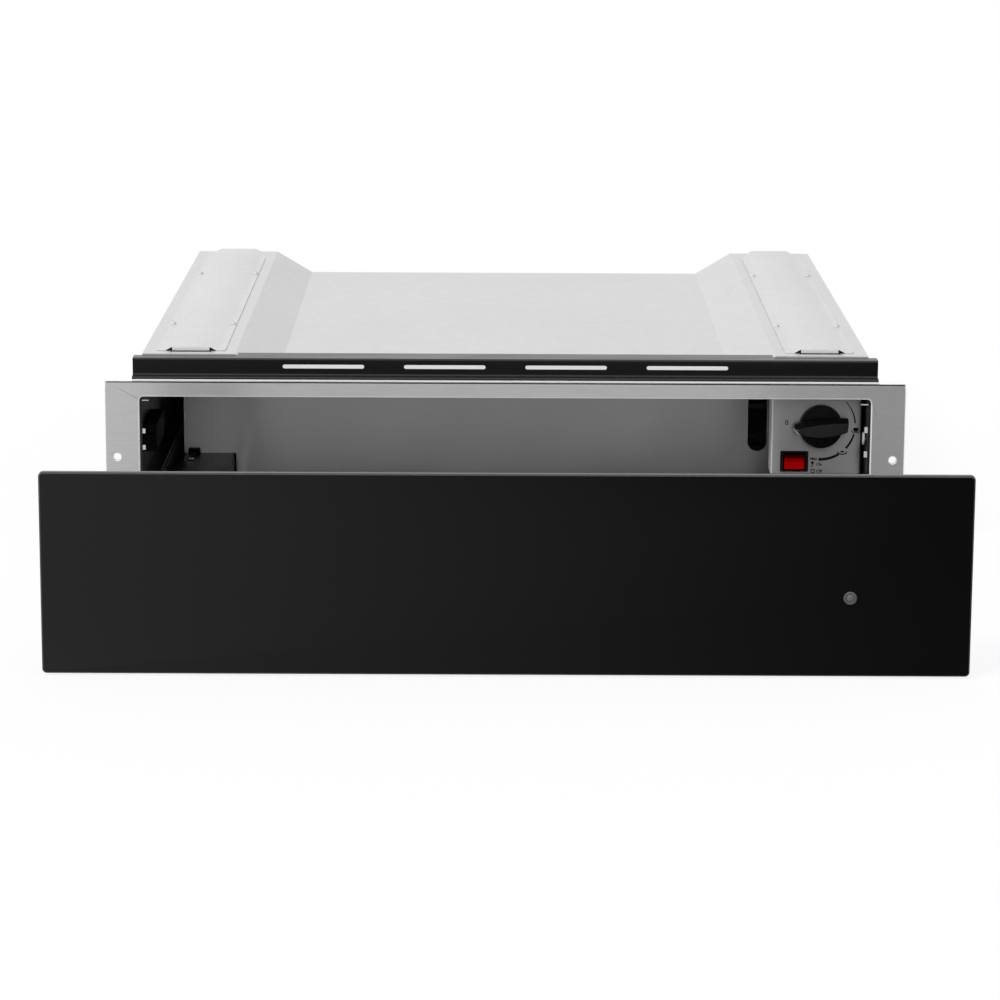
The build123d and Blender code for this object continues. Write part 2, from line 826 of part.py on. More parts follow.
# Rocker switch: black case through the plate with a raised rim and a pocket for the rocker.
pivot_y = plate_y + rocker_pivot_setback
pocket_width = rocker_width + 2 * rocker_side_gap
pocket_height = bezel_height - 2 * pocket_rim
with BuildPart() as switch_body:
    with BuildSketch(facing_front(plate_y)):
        with Locations((switch_x, switch_z)):
            RectangleRounded(bezel_width, bezel_height, bezel_rim / 2)
    extrude(amount=bezel_rim)
    with BuildSketch(facing_front(plate_y)):
        with Locations((switch_x, switch_z)):
            Rectangle(
                bezel_width - 2 * switch_case_inset - 2 * spindle_clearance,
                bezel_height - 2 * switch_case_inset - 2 * spindle_clearance,
            )
    extrude(amount=-switch_case_depth)
    with BuildSketch(facing_front(plate_y - bezel_rim)):
        with Locations((switch_x, switch_z)):
            Rectangle(pocket_width, pocket_height)
    extrude(amount=-(bezel_rim + switch_case_depth / 2), mode=Mode.SUBTRACT)
    with BuildSketch(Plane.YZ.offset(switch_x - rocker_width / 2 - rocker_pin_length)):
        with Locations((pivot_y, switch_z)):
            Circle(rocker_pin_radius + spindle_clearance)
    extrude(amount=rocker_width + 2 * rocker_pin_length, mode=Mode.SUBTRACT)
switch_body.part.label = "switch_body"
export_step(switch_body.part, "parts/switch_body.step")

# Switch terminals: four brass blades in the back of the case.
with BuildPart() as switch_terminals:
    with BuildSketch(facing_front(plate_y + switch_case_depth)):
        with Locations((switch_x, switch_z)):
            with GridLocations(bezel_width / 2, bezel_height / 2, 2, 2):
                Rectangle(4 * sheet, sheet)
    extrude(amount=-terminal_length)
switch_terminals.part.label = "switch_terminals"
export_step(switch_terminals.part, "parts/switch_terminals.step")

# Rocker: clear red button with a shallow V face, on two small pins, its upper half standing out.
with BuildPart() as rocker_button:
    with BuildSketch(Plane.YZ.offset(switch_x - rocker_width / 2)):
        with Locations((pivot_y, switch_z)):
            Polygon(
                (-rocker_reach, rocker_height / 2),
                (-rocker_reach + rocker_dip, 0),
                (-rocker_reach, -rocker_height / 2),
                (rocker_dip, -rocker_base_height / 2),
                (2 * rocker_dip, 0),
                (rocker_dip, rocker_base_height / 2),
                align=None,
            )
    extrude(amount=rocker_width)
    with BuildSketch(Plane.YZ.offset(switch_x - rocker_width / 2 - rocker_pin_length)):
        with Locations((pivot_y, switch_z)):
            Circle(rocker_pin_radius)
    extrude(amount=rocker_width + 2 * rocker_pin_length)
rocker_axis = Axis((switch_x, pivot_y, switch_z), (1, 0, 0))
rocker_button.part = rocker_button.part.rotate(rocker_axis, rocker_swing / 2)
rocker_button.part.label = "rocker_button"
export_step(rocker_button.part, "parts/rocker_button.step")

# ================================================================ drawer
# Front glass: black toughened glass with a bevelled edge and a hole for the lens.
glass_middle_z = glass_bottom_z + glass_height / 2
with BuildPart() as front_glass:
    with BuildSketch(facing_front(glass_front_y + glass_thickness)):
        with Locations((0, glass_middle_z)):
            RectangleRounded(glass_width, glass_height, glass_corner)
    extrude(amount=glass_thickness)
    chamfer(front_glass.faces().sort_by(Axis.Y)[0].edges(), glass_bevel)
    with BuildSketch(facing_front(glass_front_y + glass_thickness)):
        with Locations((lens_x, lens_z)):
            Circle(lens_head_radius + lens_clearance)
    extrude(amount=glass_thickness, mode=Mode.SUBTRACT)
front_glass.part.label = "front_glass"
export_step(front_glass.part, "parts/front_glass.step")

# Front carrier: folded steel pan that the glass is bonded to.
with BuildPart() as front_carrier:
    add(
        upright_box(
            (-carrier_half_width, carrier_half_width),
            (carrier_front_y, carrier_rear_y),
            (carrier_bottom_z, carrier_top_z),
        )
    )
    add(
        upright_box(
            (-carrier_half_width + sheet, carrier_half_width - sheet),
            (carrier_front_y + sheet, carrier_rear_y),
            (carrier_bottom_z + sheet, carrier_top_z - sheet),
        ),
        mode=Mode.SUBTRACT,
    )
    with BuildSketch(facing_front(carrier_rear_y)):
        with Locations((lens_x, lens_z)):
            Circle(light_guide_radius + lens_clearance)
    extrude(amount=carrier_depth, mode=Mode.SUBTRACT)
front_carrier.part.label = "front_carrier"
export_step(front_carrier.part, "parts/front_carrier.step")

# Carrier cover: stainless inner face of the drawer front, let into the pan.
cover_fold = sheet + carrier_fold_clearance
with BuildPart() as carrier_cover:
    add(
        upright_box(
            (-carrier_half_width + cover_fold, carrier_half_width - cover_fold),
            (carrier_rear_y - sheet, carrier_rear_y),
            (carrier_bottom_z + sheet, carrier_top_z - cover_fold),
        )
    )
    with BuildSketch(facing_front(carrier_rear_y)):
        with Locations((lens_x, lens_z)):
            Circle(light_guide_radius + lens_clearance)
    extrude(amount=sheet, mode=Mode.SUBTRACT)
carrier_cover.part.label = "carrier_cover"
export_step(carrier_cover.part, "parts/carrier_cover.step")

# Indicator lens: clear plastic light guide from the glass to the drawer front's inner face.
with BuildPart() as indicator_lens:
    with BuildSketch(facing_front(carrier_front_y)):
        with Locations((lens_x, lens_z)):
            Circle(lens_head_radius)
    extrude(amount=glass_thickness + lens_dome)
    fillet(indicator_lens.faces().sort_by(Axis.Y)[0].edges(), 2 * lens_dome)
    with BuildSketch(facing_front(carrier_rear_y)):
        with Locations((lens_x, lens_z)):
            Circle(light_guide_radius)
    extrude(amount=carrier_depth)
indicator_lens.part.label = "indicator_lens"
export_step(indicator_lens.part, "parts/indicator_lens.step")

# Drawer side: one folded strip that makes the tray's wall, the ledge and the slide's carrier.
slide_face_x = wall_x - slide_width
with BuildPart() as drawer_side_right:
    with BuildSketch(facing_front(tray_rear_y + sheet)):
        add(
            folded_sheet(
                [
                    (tray_half_width - floor_lap, floor_underside_z - sheet),
                    (tray_half_width + sheet, floor_underside_z - sheet),
                    (tray_half_width + sheet, ledge_top_z - sheet),
                    (slide_face_x - sheet, ledge_top_z - sheet),
                    (slide_face_x - sheet, ledge_top_z - rail_skirt),
                ],
                sheet,
                Side.LEFT,
            )
        )
    extrude(amount=tray_rear_y + sheet - carrier_rear_y)
drawer_side_right.part.label = "drawer_side_right"
export_step(drawer_side_right.part, "parts/drawer_side_right.step")

with BuildPart() as drawer_side_left:
    mirror(drawer_side_right.part, about=Plane.YZ)
drawer_side_left.part.label = "drawer_side_left"
export_step(drawer_side_left.part, "parts/drawer_side_left.step")

# Drawer floor: stainless sheet lying on the sides' lower laps.
with BuildPart() as drawer_floor:
    add(
        upright_box(
            (-floor_half_width, floor_half_width),
            (carrier_rear_y, tray_rear_y),
            (floor_underside_z, floor_top_z),
        )
    )
    fillet(drawer_floor.edges().filter_by(Axis.Z), sheet)
drawer_floor.part.label = "drawer_floor"
export_step(drawer_floor.part, "parts/drawer_floor.step")

# Back wall: stainless sheet with rearward folds, standing behind the floor and on the ledges.
with BuildPart() as drawer_back_wall:
    with BuildSketch(facing_front(tray_rear_y + sheet)):
        with BuildLine():
            Polyline(
                (-back_wall_half_width, ledge_top_z),
                (-floor_half_width, ledge_top_z),
                (-floor_half_width, floor_underside_z),
                (floor_half_width, floor_underside_z),
                (floor_half_width, ledge_top_z),
                (back_wall_half_width, ledge_top_z),
                (back_wall_half_width, back_wall_top_z),
                (-back_wall_half_width, back_wall_top_z),
                close=True,
            )
        make_face()
        with Locations((air_slot_x, air_slot_bottom_z + air_slot_height / 2)):
            SlotOverall(air_slot_height, air_slot_width, rotation=90, mode=Mode.SUBTRACT)
    extrude(amount=sheet)
    add(
        upright_box(
            (-back_wall_half_width, back_wall_half_width),
            (tray_rear_y, tray_rear_y + back_wall_fold),
            (back_wall_top_z - sheet, back_wall_top_z),
        )
    )
    for fold_side in (-1, 1):
        fold_x = sorted((fold_side * back_wall_half_width, fold_side * (back_wall_half_width - sheet)))
        add(
            upright_box(
                fold_x,
                (tray_rear_y, tray_rear_y + back_wall_fold),
                (ledge_top_z, back_wall_top_z),
            )
        )
drawer_back_wall.part.label = "drawer_back_wall"
export_step(drawer_back_wall.part, "parts/drawer_back_wall.step")

# Ledge stop: black plastic block at the left end of the back wall.
stop_x = (-back_wall_half_width + stop_inset, -back_wall_half_width + stop_inset + stop_width)
with BuildPart() as ledge_stop:
    add(
        upright_box(
            stop_x,
            (tray_rear_y - stop_length, tray_rear_y),
            (ledge_top_z, ledge_top_z + stop_height),
        )
    )
    chamfer(ledge_stop.edges().group_by(Axis.Z)[-1], sheet)
ledge_stop.part.label = "ledge_stop"
export_step(ledge_stop.part, "parts/ledge_stop.step")

# Anti-slip mat: loose silicone sheet on the floor.
mat_front_y = carrier_rear_y + bracket_leg + mat_margin
with BuildPart() as anti_slip_mat:
    add(
        upright_box(
            (-tray_half_width + mat_margin, tray_half_width - mat_margin),
            (mat_front_y, tray_rear_y - mat_margin),
            (floor_top_z, floor_top_z + mat_thickness),
        )
    )
    fillet(anti_slip_mat.edges().filter_by(Axis.Z), mat_margin)
anti_slip_mat.part.label = "anti_slip_mat"
export_step(anti_slip_mat.part, "parts/anti_slip_mat.step")

# Front brackets: two small angles between the tray's walls and the drawer front.
bracket_z = (floor_underside_z + bend_radius, floor_underside_z + bend_radius + bracket_height)
with BuildPart() as front_brackets:
    for bracket_side in (-1, 1):
        wall_leg = sorted(
            (bracket_side * tray_half_width, bracket_side * (tray_half_width - bracket_sheet))
        )
        front_leg = sorted(
            (bracket_side * tray_half_width, bracket_side * (tray_half_width - bracket_leg))
        )
        add(upright_box(wall_leg, (carrier_rear_y, carrier_rear_y + bracket_leg), bracket_z))
        add(upright_box(front_leg, (carrier_rear_y, carrier_rear_y + bracket_sheet), bracket_z))
front_brackets.part.label = "front_brackets"
export_step(front_brackets.part, "parts/front_brackets.step")

# Drawer screws: pan heads on both legs of the brackets.
bracket_screw_x = tray_half_width - bracket_leg / 2
bracket_screw_z = sum(bracket_z) / 2
with BuildPart() as drawer_screws:
    with BuildSketch(facing_front(carrier_rear_y + bracket_sheet)):
        with Locations((-bracket_screw_x, bracket_screw_z), (bracket_screw_x, bracket_screw_z)):
            Circle(screw_head_radius)
    extrude(amount=-screw_head_height)
    for screw_side in (-1, 1):
        screw_x = screw_side * (tray_half_width - bracket_sheet)
        screw_plane = Plane(
            origin=(screw_x, carrier_rear_y + bracket_leg / 2 + sheet, bracket_screw_z),
            z_dir=(-screw_side, 0, 0),
        )
        with BuildSketch(screw_plane):
            Circle(screw_head_radius)
        extrude(amount=screw_head_height)
drawer_screws.part.label = "drawer_screws"
export_step(drawer_screws.part, "parts/drawer_screws.step")

# Front buffers: four silicone pads that meet the steel frame when the drawer shuts.
with BuildPart() as front_buffers:
    with BuildSketch(facing_front(carrier_rear_y)):
        with Locations(
            (-buffer_x, buffer_low_z),
            (buffer_x, buffer_low_z),
            (-buffer_x, buffer_high_z),
            (buffer_x, buffer_high_z),
        ):
            Circle(buffer_radius)
    extrude(amount=-buffer_height)
front_buffers.part.label = "front_buffers"
export_step(front_buffers.part, "parts/front_buffers.step")

# ================================================================ telescopic slides
outer_half = slide_height / 2
middle_half = outer_half - slide_sheet - 2 * (ball_radius + ball_clearance)
inner_half = middle_half - slide_sheet - 2 * (ball_radius + ball_clearance)
outer_race_half = (outer_half - slide_sheet + middle_half) / 2
inner_race_half = (middle_half - slide_sheet + inner_half) / 2
slide_rear_y = front_y + slide_front_setback + slide_length


def channel(depth_range, half_height, y_range, opens_inwards):
    """Slide member on the right: a C channel between two depths measured from the side wall."""
    near, far = depth_range
    with BuildPart() as member:
        add(
            upright_box(
                (wall_x - far, wall_x - near),
                y_range,
                (slide_z - half_height, slide_z + half_height),
            )
        )
        hollow = (wall_x - far, wall_x - near - slide_sheet)
        if not opens_inwards:
            hollow = (wall_x - far + slide_sheet, wall_x - near)
        add(
            upright_box(
                hollow,
                y_range,
                (slide_z - half_height + slide_sheet, slide_z + half_height - slide_sheet),
            ),
            mode=Mode.SUBTRACT,
        )
    return member.part


def ball_cage(web_depth, flange_depth, race_half, middle_y):
    """Thin channel on the right with its row of balls along each race, all one piece."""
    y_range = (middle_y - cage_length / 2, middle_y + cage_length / 2)
    with BuildPart() as cage:
        add(
            upright_box(
                (wall_x - flange_depth, wall_x - web_depth),
                y_range,
                (slide_z - race_half - cage_sheet / 2, slide_z + race_half + cage_sheet / 2),
            )
        )
        add(
            upright_box(
                (wall_x - flange_depth, wall_x - web_depth - cage_sheet),
                y_range,
                (slide_z - race_half + cage_sheet / 2, slide_z + race_half - cage_sheet / 2),
            ),
            mode=Mode.SUBTRACT,
        )
        ball_x = wall_x - flange_depth + ball_radius
        races = [(ball_x, middle_y, slide_z + sign * race_half) for sign in (-1, 1)]
        with Locations(*races):
            with GridLocations(0, cage_ball_pitch, 1, cage_ball_count):
                Sphere(ball_radius)
    return cage.part


with BuildPart() as slide_outer_right:
    add(
        channel(
            (0, outer_flange_depth),
            outer_half,
            (front_y + slide_front_setback, slide_rear_y),
            opens_inwards=True,
        )
    )
slide_outer_right.part.label = "slide_outer_right"
export_step(slide_outer_right.part, "parts/slide_outer_right.step")

with BuildPart() as slide_outer_left:
    mirror(slide_outer_right.part, about=Plane.YZ)
slide_outer_left.part.label = "slide_outer_left"
export_step(slide_outer_left.part, "parts/slide_outer_left.step")

middle_shift = -drawer_travel / 2
with BuildPart() as slide_middle_right:
    add(
        channel(
            (middle_web_depth, middle_flange_depth),
            middle_half,
            (front_y + slide_front_setback + middle_shift, slide_rear_y + middle_shift),
            opens_inwards=True,
        )
    )
slide_middle_right.part.label = "slide_middle_right"
export_step(slide_middle_right.part, "parts/slide_middle_right.step")

with BuildPart() as slide_middle_left:
    mirror(slide_middle_right.part, about=Plane.YZ)
slide_middle_left.part.label = "slide_middle_left"
export_step(slide_middle_left.part, "parts/slide_middle_left.step")

with BuildPart() as slide_inner_right:
    add(
        channel(
            (inner_flange_depth, slide_width),
            inner_half,
            (drawer_y + slide_front_setback, slide_rear_y - drawer_travel),
            opens_inwards=False,
        )
    )
slide_inner_right.part.label = "slide_inner_right"
export_step(slide_inner_right.part, "parts/slide_inner_right.step")

with BuildPart() as slide_inner_left:
    mirror(slide_inner_right.part, about=Plane.YZ)
slide_inner_left.part.label = "slide_inner_left"
export_step(slide_inner_left.part, "parts/slide_inner_left.step")

# Ball cages: midway along the overlap of the two members that each one runs between.
outer_cage_y = front_y + slide_front_setback + (slide_length + middle_shift) / 2
inner_cage_y = outer_cage_y + middle_shift
with BuildPart() as outer_balls_right:
    add(
        ball_cage(
            slide_sheet + cage_gap, middle_flange_depth - ball_radius, outer_race_half, outer_cage_y
        )
    )
outer_balls_right.part.label = "outer_balls_right"
export_step(outer_balls_right.part, "parts/outer_balls_right.step")

with BuildPart() as outer_balls_left:
    mirror(outer_balls_right.part, about=Plane.YZ)
outer_balls_left.part.label = "outer_balls_left"
export_step(outer_balls_left.part, "parts/outer_balls_left.step")

with BuildPart() as inner_balls_right:
    add(
        ball_cage(
            middle_web_depth + slide_sheet + cage_gap,
            middle_flange_depth - cage_gap,
            inner_race_half,
            inner_cage_y,
        )
    )
inner_balls_right.part.label = "inner_balls_right"
export_step(inner_balls_right.part, "parts/inner_balls_right.step")

with BuildPart() as inner_balls_left:
    mirror(inner_balls_right.part, about=Plane.YZ)
inner_balls_left.part.label = "inner_balls_left"
export_step(inner_balls_left.part, "parts/inner_balls_left.step")

# ================================================================ heater
# Reflector: aluminised sheet on the base, under the heating element.
heater_span = 3 * heater_run_pitch
reflector_half_width = heater_span / 2 + reflector_margin
with BuildPart() as heater_reflector:
    add(
        upright_box(
            (-reflector_half_width, reflector_half_width),
            (heater_front_y - reflector_margin, heater_rear_y + reflector_margin),
            (sheet, sheet + reflector_sheet),
        )
    )
heater_reflector.part.label = "heater_reflector"
export_step(heater_reflector.part, "parts/heater_reflector.step")

# Heating element: one steel tube in four runs, with both ends at the back.
run_x = [-heater_span / 2 + run * heater_run_pitch for run in range(4)]
leg_y = rear_y - heater_leg_rear_gap
turn_front_y = heater_front_y
turn_rear_y = heater_rear_y - heater_run_pitch
with BuildPart() as heater_element:
    with BuildLine() as heater_path:
        FilletPolyline(
            (run_x[0], leg_y, heater_axis_z),
            (run_x[0], turn_front_y, heater_axis_z),
            (run_x[1], turn_front_y, heater_axis_z),
            (run_x[1], turn_rear_y, heater_axis_z),
            (run_x[2], turn_rear_y, heater_axis_z),
            (run_x[2], turn_front_y, heater_axis_z),
            (run_x[3], turn_front_y, heater_axis_z),
            (run_x[3], leg_y, heater_axis_z),
            radius=(heater_run_pitch - heater_bend_straight) / 2,
        )
    with BuildSketch(facing_front(leg_y)):
        with Locations((run_x[0], heater_axis_z)):
            Circle(heater_radius)
    sweep(path=heater_path.line)
heater_element.part.label = "heater_element"
export_step(heater_element.part, "parts/heater_element.step")

# Heater clips: saddles that hold each run off the reflector.
clip_ys = (heater_front_y + heater_run_pitch, turn_rear_y - heater_run_pitch)
with BuildPart() as heater_clips:
    for clip_x in run_x:
        for clip_y in clip_ys:
            add(
                upright_box(
                    (clip_x - heater_clip_width / 2, clip_x + heater_clip_width / 2),
                    (clip_y - heater_clip_length / 2, clip_y + heater_clip_length / 2),
                    (sheet + reflector_sheet, heater_axis_z),
                )
            )
    with BuildSketch(facing_front(rear_y)):
        for clip_x in run_x:
            with Locations((clip_x, heater_axis_z)):
                Circle(heater_radius)
    extrude(amount=casing_depth, mode=Mode.SUBTRACT)
heater_clips.part.label = "heater_clips"
export_step(heater_clips.part, "parts/heater_clips.step")

# Thermal cut-out: bimetal disc in a plastic cap, on the base beside the reflector.
with BuildPart() as thermal_cutout:
    with BuildSketch(Plane.XY.offset(sheet)):
        with Locations((cutout_x + 2 * cutout_radius, cutout_y)):
            Circle(cutout_radius)
    extrude(amount=cutout_height)
    with BuildSketch(Plane.XY.offset(sheet + cutout_height)):
        with Locations((cutout_x + 2 * cutout_radius, cutout_y)):
            with GridLocations(cutout_radius, 0, 2, 1):
                Rectangle(sheet, 4 * sheet)
    extrude(amount=cutout_height / 2)
thermal_cutout.part.label = "thermal_cutout"
export_step(thermal_cutout.part, "parts/thermal_cutout.step")

# ================================================================ fan
fan_rear_y = rear_y - sheet
fan_front_y = fan_rear_y - fan_depth
hub_rear_y = fan_rear_y - fan_strut_depth
with BuildPart() as fan_frame:
    with BuildSketch(facing_front(fan_rear_y)):
        with Locations((fan_x, fan_z)):
            RectangleRounded(fan_size, fan_size, fan_strut_width)
            Circle(fan_bore_radius, mode=Mode.SUBTRACT)
            with GridLocations(fan_screw_spacing, fan_screw_spacing, 2, 2):
                Circle(thermostat_screw_radius, mode=Mode.SUBTRACT)
    extrude(amount=fan_depth)
    with BuildSketch(facing_front(fan_rear_y)):
        with Locations((fan_x, fan_z)):
            Circle(fan_motor_radius)
            with PolarLocations(fan_bore_radius / 2, 3):
                Rectangle(fan_bore_radius + fan_strut_width, fan_strut_width)
    extrude(amount=fan_strut_depth)
    with BuildSketch(facing_front(fan_rear_y)):
        with Locations((fan_x, fan_z)):
            Circle(fan_shaft_radius + spindle_clearance)
    extrude(amount=fan_strut_depth, mode=Mode.SUBTRACT)
fan_frame.part.label = "fan_frame"
export_step(fan_frame.part, "parts/fan_frame.step")

# Impeller: cup-shaped hub with pitched blades and a short shaft that runs in the frame's boss.
blade_length = fan_bore_radius - fan_tip_clearance - fan_hub_radius + sheet
blade_radius = fan_bore_radius - fan_tip_clearance - blade_length / 2
blade_depth = fan_depth - 2 * fan_strut_depth
with BuildPart() as fan_impeller:
    with BuildSketch(facing_front(hub_rear_y - impeller_end_clearance)):
        with Locations((fan_x, fan_z)):
            Circle(fan_hub_radius)
    extrude(amount=hub_rear_y - impeller_end_clearance - fan_front_y - sheet)
    with BuildSketch(facing_front(fan_rear_y)):
        with Locations((fan_x, fan_z)):
            Circle(fan_shaft_radius)
    extrude(amount=fan_depth / 2)
    blade_middle_y = (hub_rear_y + fan_front_y) / 2
    with Locations(Plane(origin=(fan_x, blade_middle_y, fan_z), x_dir=(1, 0, 0), z_dir=(0, -1, 0))):
        with PolarLocations(blade_radius, fan_blade_count):
            Box(blade_length, blade_depth, fan_blade_thickness, rotation=(fan_blade_pitch, 0, 0))
fan_impeller.part.label = "fan_impeller"
export_step(fan_impeller.part, "parts/fan_impeller.step")

# ================================================================ mains connection and wiring
# Terminal block: in the right-hand channel above the ceiling, on the rear panel.
block_z = (gland_z - terminal_block_height / 2, gland_z + terminal_block_height / 2)
block_front_y = rear_y - sheet - gland_nut_height - terminal_block_depth
with BuildPart() as terminal_block:
    add(
        upright_box(
            (terminal_block_x - terminal_block_width / 2, terminal_block_x + terminal_block_width / 2),
            (block_front_y, rear_y - sheet - gland_nut_height),
            block_z,
        )
    )
    with BuildSketch(Plane.XY.offset(block_z[1])):
        with Locations((terminal_block_x, block_front_y + terminal_block_depth / 2)):
            with GridLocations(terminal_block_width / 4, terminal_block_depth / 2, 3, 2):
                Circle(screw_head_radius)
    extrude(amount=-2 * screw_head_radius, mode=Mode.SUBTRACT)
    with BuildSketch(facing_front(block_front_y)):
        with Locations((loom_x, channel_z)):
            Circle(loom_radius)
    extrude(amount=-2 * loom_radius, mode=Mode.SUBTRACT)
terminal_block.part.label = "terminal_block"
export_step(terminal_block.part, "parts/terminal_block.step")

# Cord gland: nylon body outside the rear panel with an empty bore; its nut is inside.
with BuildPart() as cord_gland:
    with BuildSketch(facing_front(rear_y)):
        with Locations((terminal_block_x, gland_z)):
            Circle(gland_neck_radius - spindle_clearance)
    extrude(amount=sheet + gland_nut_height)
    with BuildSketch(facing_front(rear_y + gland_length)):
        with Locations((terminal_block_x, gland_z)):
            RegularPolygon(gland_body_radius, 6)
    extrude(amount=gland_length)
    with BuildSketch(facing_front(rear_y + gland_length)):
        with Locations((terminal_block_x, gland_z)):
            Circle(gland_bore_radius)
    extrude(amount=gland_length + sheet + gland_nut_height, mode=Mode.SUBTRACT)
cord_gland.part.label = "cord_gland"
export_step(cord_gland.part, "parts/cord_gland.step")

with BuildPart() as gland_nut:
    with BuildSketch(facing_front(rear_y - sheet)):
        with Locations((terminal_block_x, gland_z)):
            RegularPolygon(gland_nut_radius, 6)
            Circle(gland_neck_radius, mode=Mode.SUBTRACT)
    extrude(amount=gland_nut_height)
gland_nut.part.label = "gland_nut"
export_step(gland_nut.part, "parts/gland_nut.step")

# Wiring loom: sleeved wires from the terminal block along the channel and down to the controls.
loom_end_z = housing_z[1] - loom_bend_radius
with BuildPart() as wiring_loom:
    with BuildLine() as loom_path:
        FilletPolyline(
            (loom_x, block_front_y + 2 * loom_radius, channel_z),
            (loom_x, loom_front_y, channel_z),
            (loom_x, loom_front_y, loom_end_z),
            radius=loom_bend_radius,
        )
    with BuildSketch(facing_front(block_front_y + 2 * loom_radius)):
        with Locations((loom_x, channel_z)):
            Circle(loom_radius)
    sweep(path=loom_path.line)
wiring_loom.part.label = "wiring_loom"
export_step(wiring_loom.part, "parts/wiring_loom.step")

# Heater leads: two insulated wires from the element's ends, behind the shut drawer, up to the block.
with BuildPart() as heater_leads:
    for lead_index, lead_x in enumerate((run_x[3], run_x[0])):
        with BuildLine() as lead_path:
            FilletPolyline(
                (lead_x, leg_y, heater_axis_z),
                (lead_x, service_y, heater_axis_z),
                (lead_rise_xs[lead_index], service_y, heater_axis_z),
                (lead_rise_xs[lead_index], service_y, block_z[0]),
                radius=wire_bend_radius,
            )
        with BuildSketch(facing_front(leg_y)):
            with Locations((lead_x, heater_axis_z)):
                Circle(wire_radius)
        sweep(path=lead_path.line)
heater_leads.part.label = "heater_leads"
export_step(heater_leads.part, "parts/heater_leads.step")

# Capillary: thin copper tube from the thermostat to its bulb behind the shut drawer.
with BuildPart() as capillary_tube:
    with BuildLine() as capillary_path:
        FilletPolyline(
            (capillary_x, loom_front_y, loom_end_z),
            (capillary_x, loom_front_y, channel_z),
            (capillary_x, service_y, channel_z),
            (capillary_x, service_y, bulb_top_z),
            radius=wire_bend_radius,
        )
    with BuildSketch(Plane.XY.offset(loom_end_z)):
        with Locations((capillary_x, loom_front_y)):
            Circle(capillary_radius)
    sweep(path=capillary_path.line)
    with BuildSketch(Plane.XY.offset(bulb_top_z - bulb_length)):
        with Locations((capillary_x, service_y)):
            Circle(bulb_radius)
    extrude(amount=bulb_length)
capillary_tube.part.label = "capillary_tube"
export_step(capillary_tube.part, "parts/capillary_tube.step")

# Bulb clips: two plastic saddles on the rear panel that hold the thermostat's bulb.
bulb_clip_zs = (bulb_top_z - bulb_length / 4, bulb_top_z - bulb_length * 3 / 4)
with BuildPart() as bulb_clips:
    for clip_z in bulb_clip_zs:
        add(
            upright_box(
                (capillary_x - bulb_clip_width / 2, capillary_x + bulb_clip_width / 2),
                (service_y, rear_y - sheet),
                (clip_z - bulb_clip_height / 2, clip_z + bulb_clip_height / 2),
            )
        )
    with BuildSketch(Plane.XY.offset(bulb_top_z - bulb_length)):
        with Locations((capillary_x, service_y)):
            Circle(bulb_radius)
    extrude(amount=bulb_length, mode=Mode.SUBTRACT)
bulb_clips.part.label = "bulb_clips"
export_step(bulb_clips.part, "parts/bulb_clips.step")

# ================================================================ push latch
# Latch body: on the left wall beside the mouth; its sprung plunger meets the shut drawer front.
latch_x = -wall_x + latch_width / 2
latch_front_y = front_y + latch_setback
with BuildPart() as latch_body:
    add(
        upright_box(
            (-wall_x, -wall_x + latch_width),
            (latch_front_y, latch_front_y + latch_length),
            (latch_z - latch_height / 2, latch_z + latch_height / 2),
        )
    )
    with BuildSketch(facing_front(latch_front_y)):
        with Locations((latch_x, latch_z)):
            Circle(plunger_radius + plunger_clearance)
    extrude(amount=-(plunger_depth + 2 * plunger_travel), mode=Mode.SUBTRACT)
latch_body.part.label = "latch_body"
export_step(latch_body.part, "parts/latch_body.step")

plunger_tip_y = front_y - latch_end_gap
with BuildPart() as latch_plunger:
    with BuildSketch(facing_front(latch_front_y + plunger_depth)):
        with Locations((latch_x, latch_z)):
            Circle(plunger_radius)
    extrude(amount=latch_front_y + plunger_depth - plunger_tip_y)
    fillet(latch_plunger.faces().sort_by(Axis.Y)[0].edges(), sheet)
latch_plunger.part.label = "latch_plunger"
export_step(latch_plunger.part, "parts/latch_plunger.step")
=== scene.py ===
"""Built-in warming drawer with a black glass front, its drawer pulled out, in a white studio.

Metres, in the row frame: +X to the right seen from the front, +Y to the back, +Z up.
"""

import math

import bmesh
import bpy
from mathutils import Matrix, Vector


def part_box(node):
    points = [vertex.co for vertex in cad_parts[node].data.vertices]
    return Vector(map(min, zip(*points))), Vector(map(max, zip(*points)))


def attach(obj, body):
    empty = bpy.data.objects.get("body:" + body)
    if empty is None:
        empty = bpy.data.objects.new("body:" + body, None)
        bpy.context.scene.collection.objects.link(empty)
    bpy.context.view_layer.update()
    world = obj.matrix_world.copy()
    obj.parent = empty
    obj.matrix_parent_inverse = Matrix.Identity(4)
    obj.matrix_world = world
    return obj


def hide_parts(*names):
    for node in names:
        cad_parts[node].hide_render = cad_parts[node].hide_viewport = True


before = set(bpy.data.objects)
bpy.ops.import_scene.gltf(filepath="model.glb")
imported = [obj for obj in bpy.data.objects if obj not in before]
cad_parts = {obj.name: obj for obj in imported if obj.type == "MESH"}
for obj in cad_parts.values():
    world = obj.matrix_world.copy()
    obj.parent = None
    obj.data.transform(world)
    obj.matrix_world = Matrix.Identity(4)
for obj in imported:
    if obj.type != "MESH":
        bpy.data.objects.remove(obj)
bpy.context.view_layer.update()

# ---------------- studio
# A pale floor in a white room, as for a catalogue picture. Shiny surfaces see a floor that is
# brightest on the left, where the window stands, and the floor keeps the object's shadow.
MM = 0.001
scene = bpy.context.scene
scene.view_settings.view_transform = "Standard"

floor_half = 20.0
floor_lit_share = 0.86  # share of the camera's view of the floor that is plain white
casing_half = (0.27, 0.26)  # beneath the casing the floor is left in its shadow
window_x = -0.62  # where the floor's reflection is brightest, and where it has faded
shade_x = 0.42
window_shine = 0.58
shade_shine = 0.07


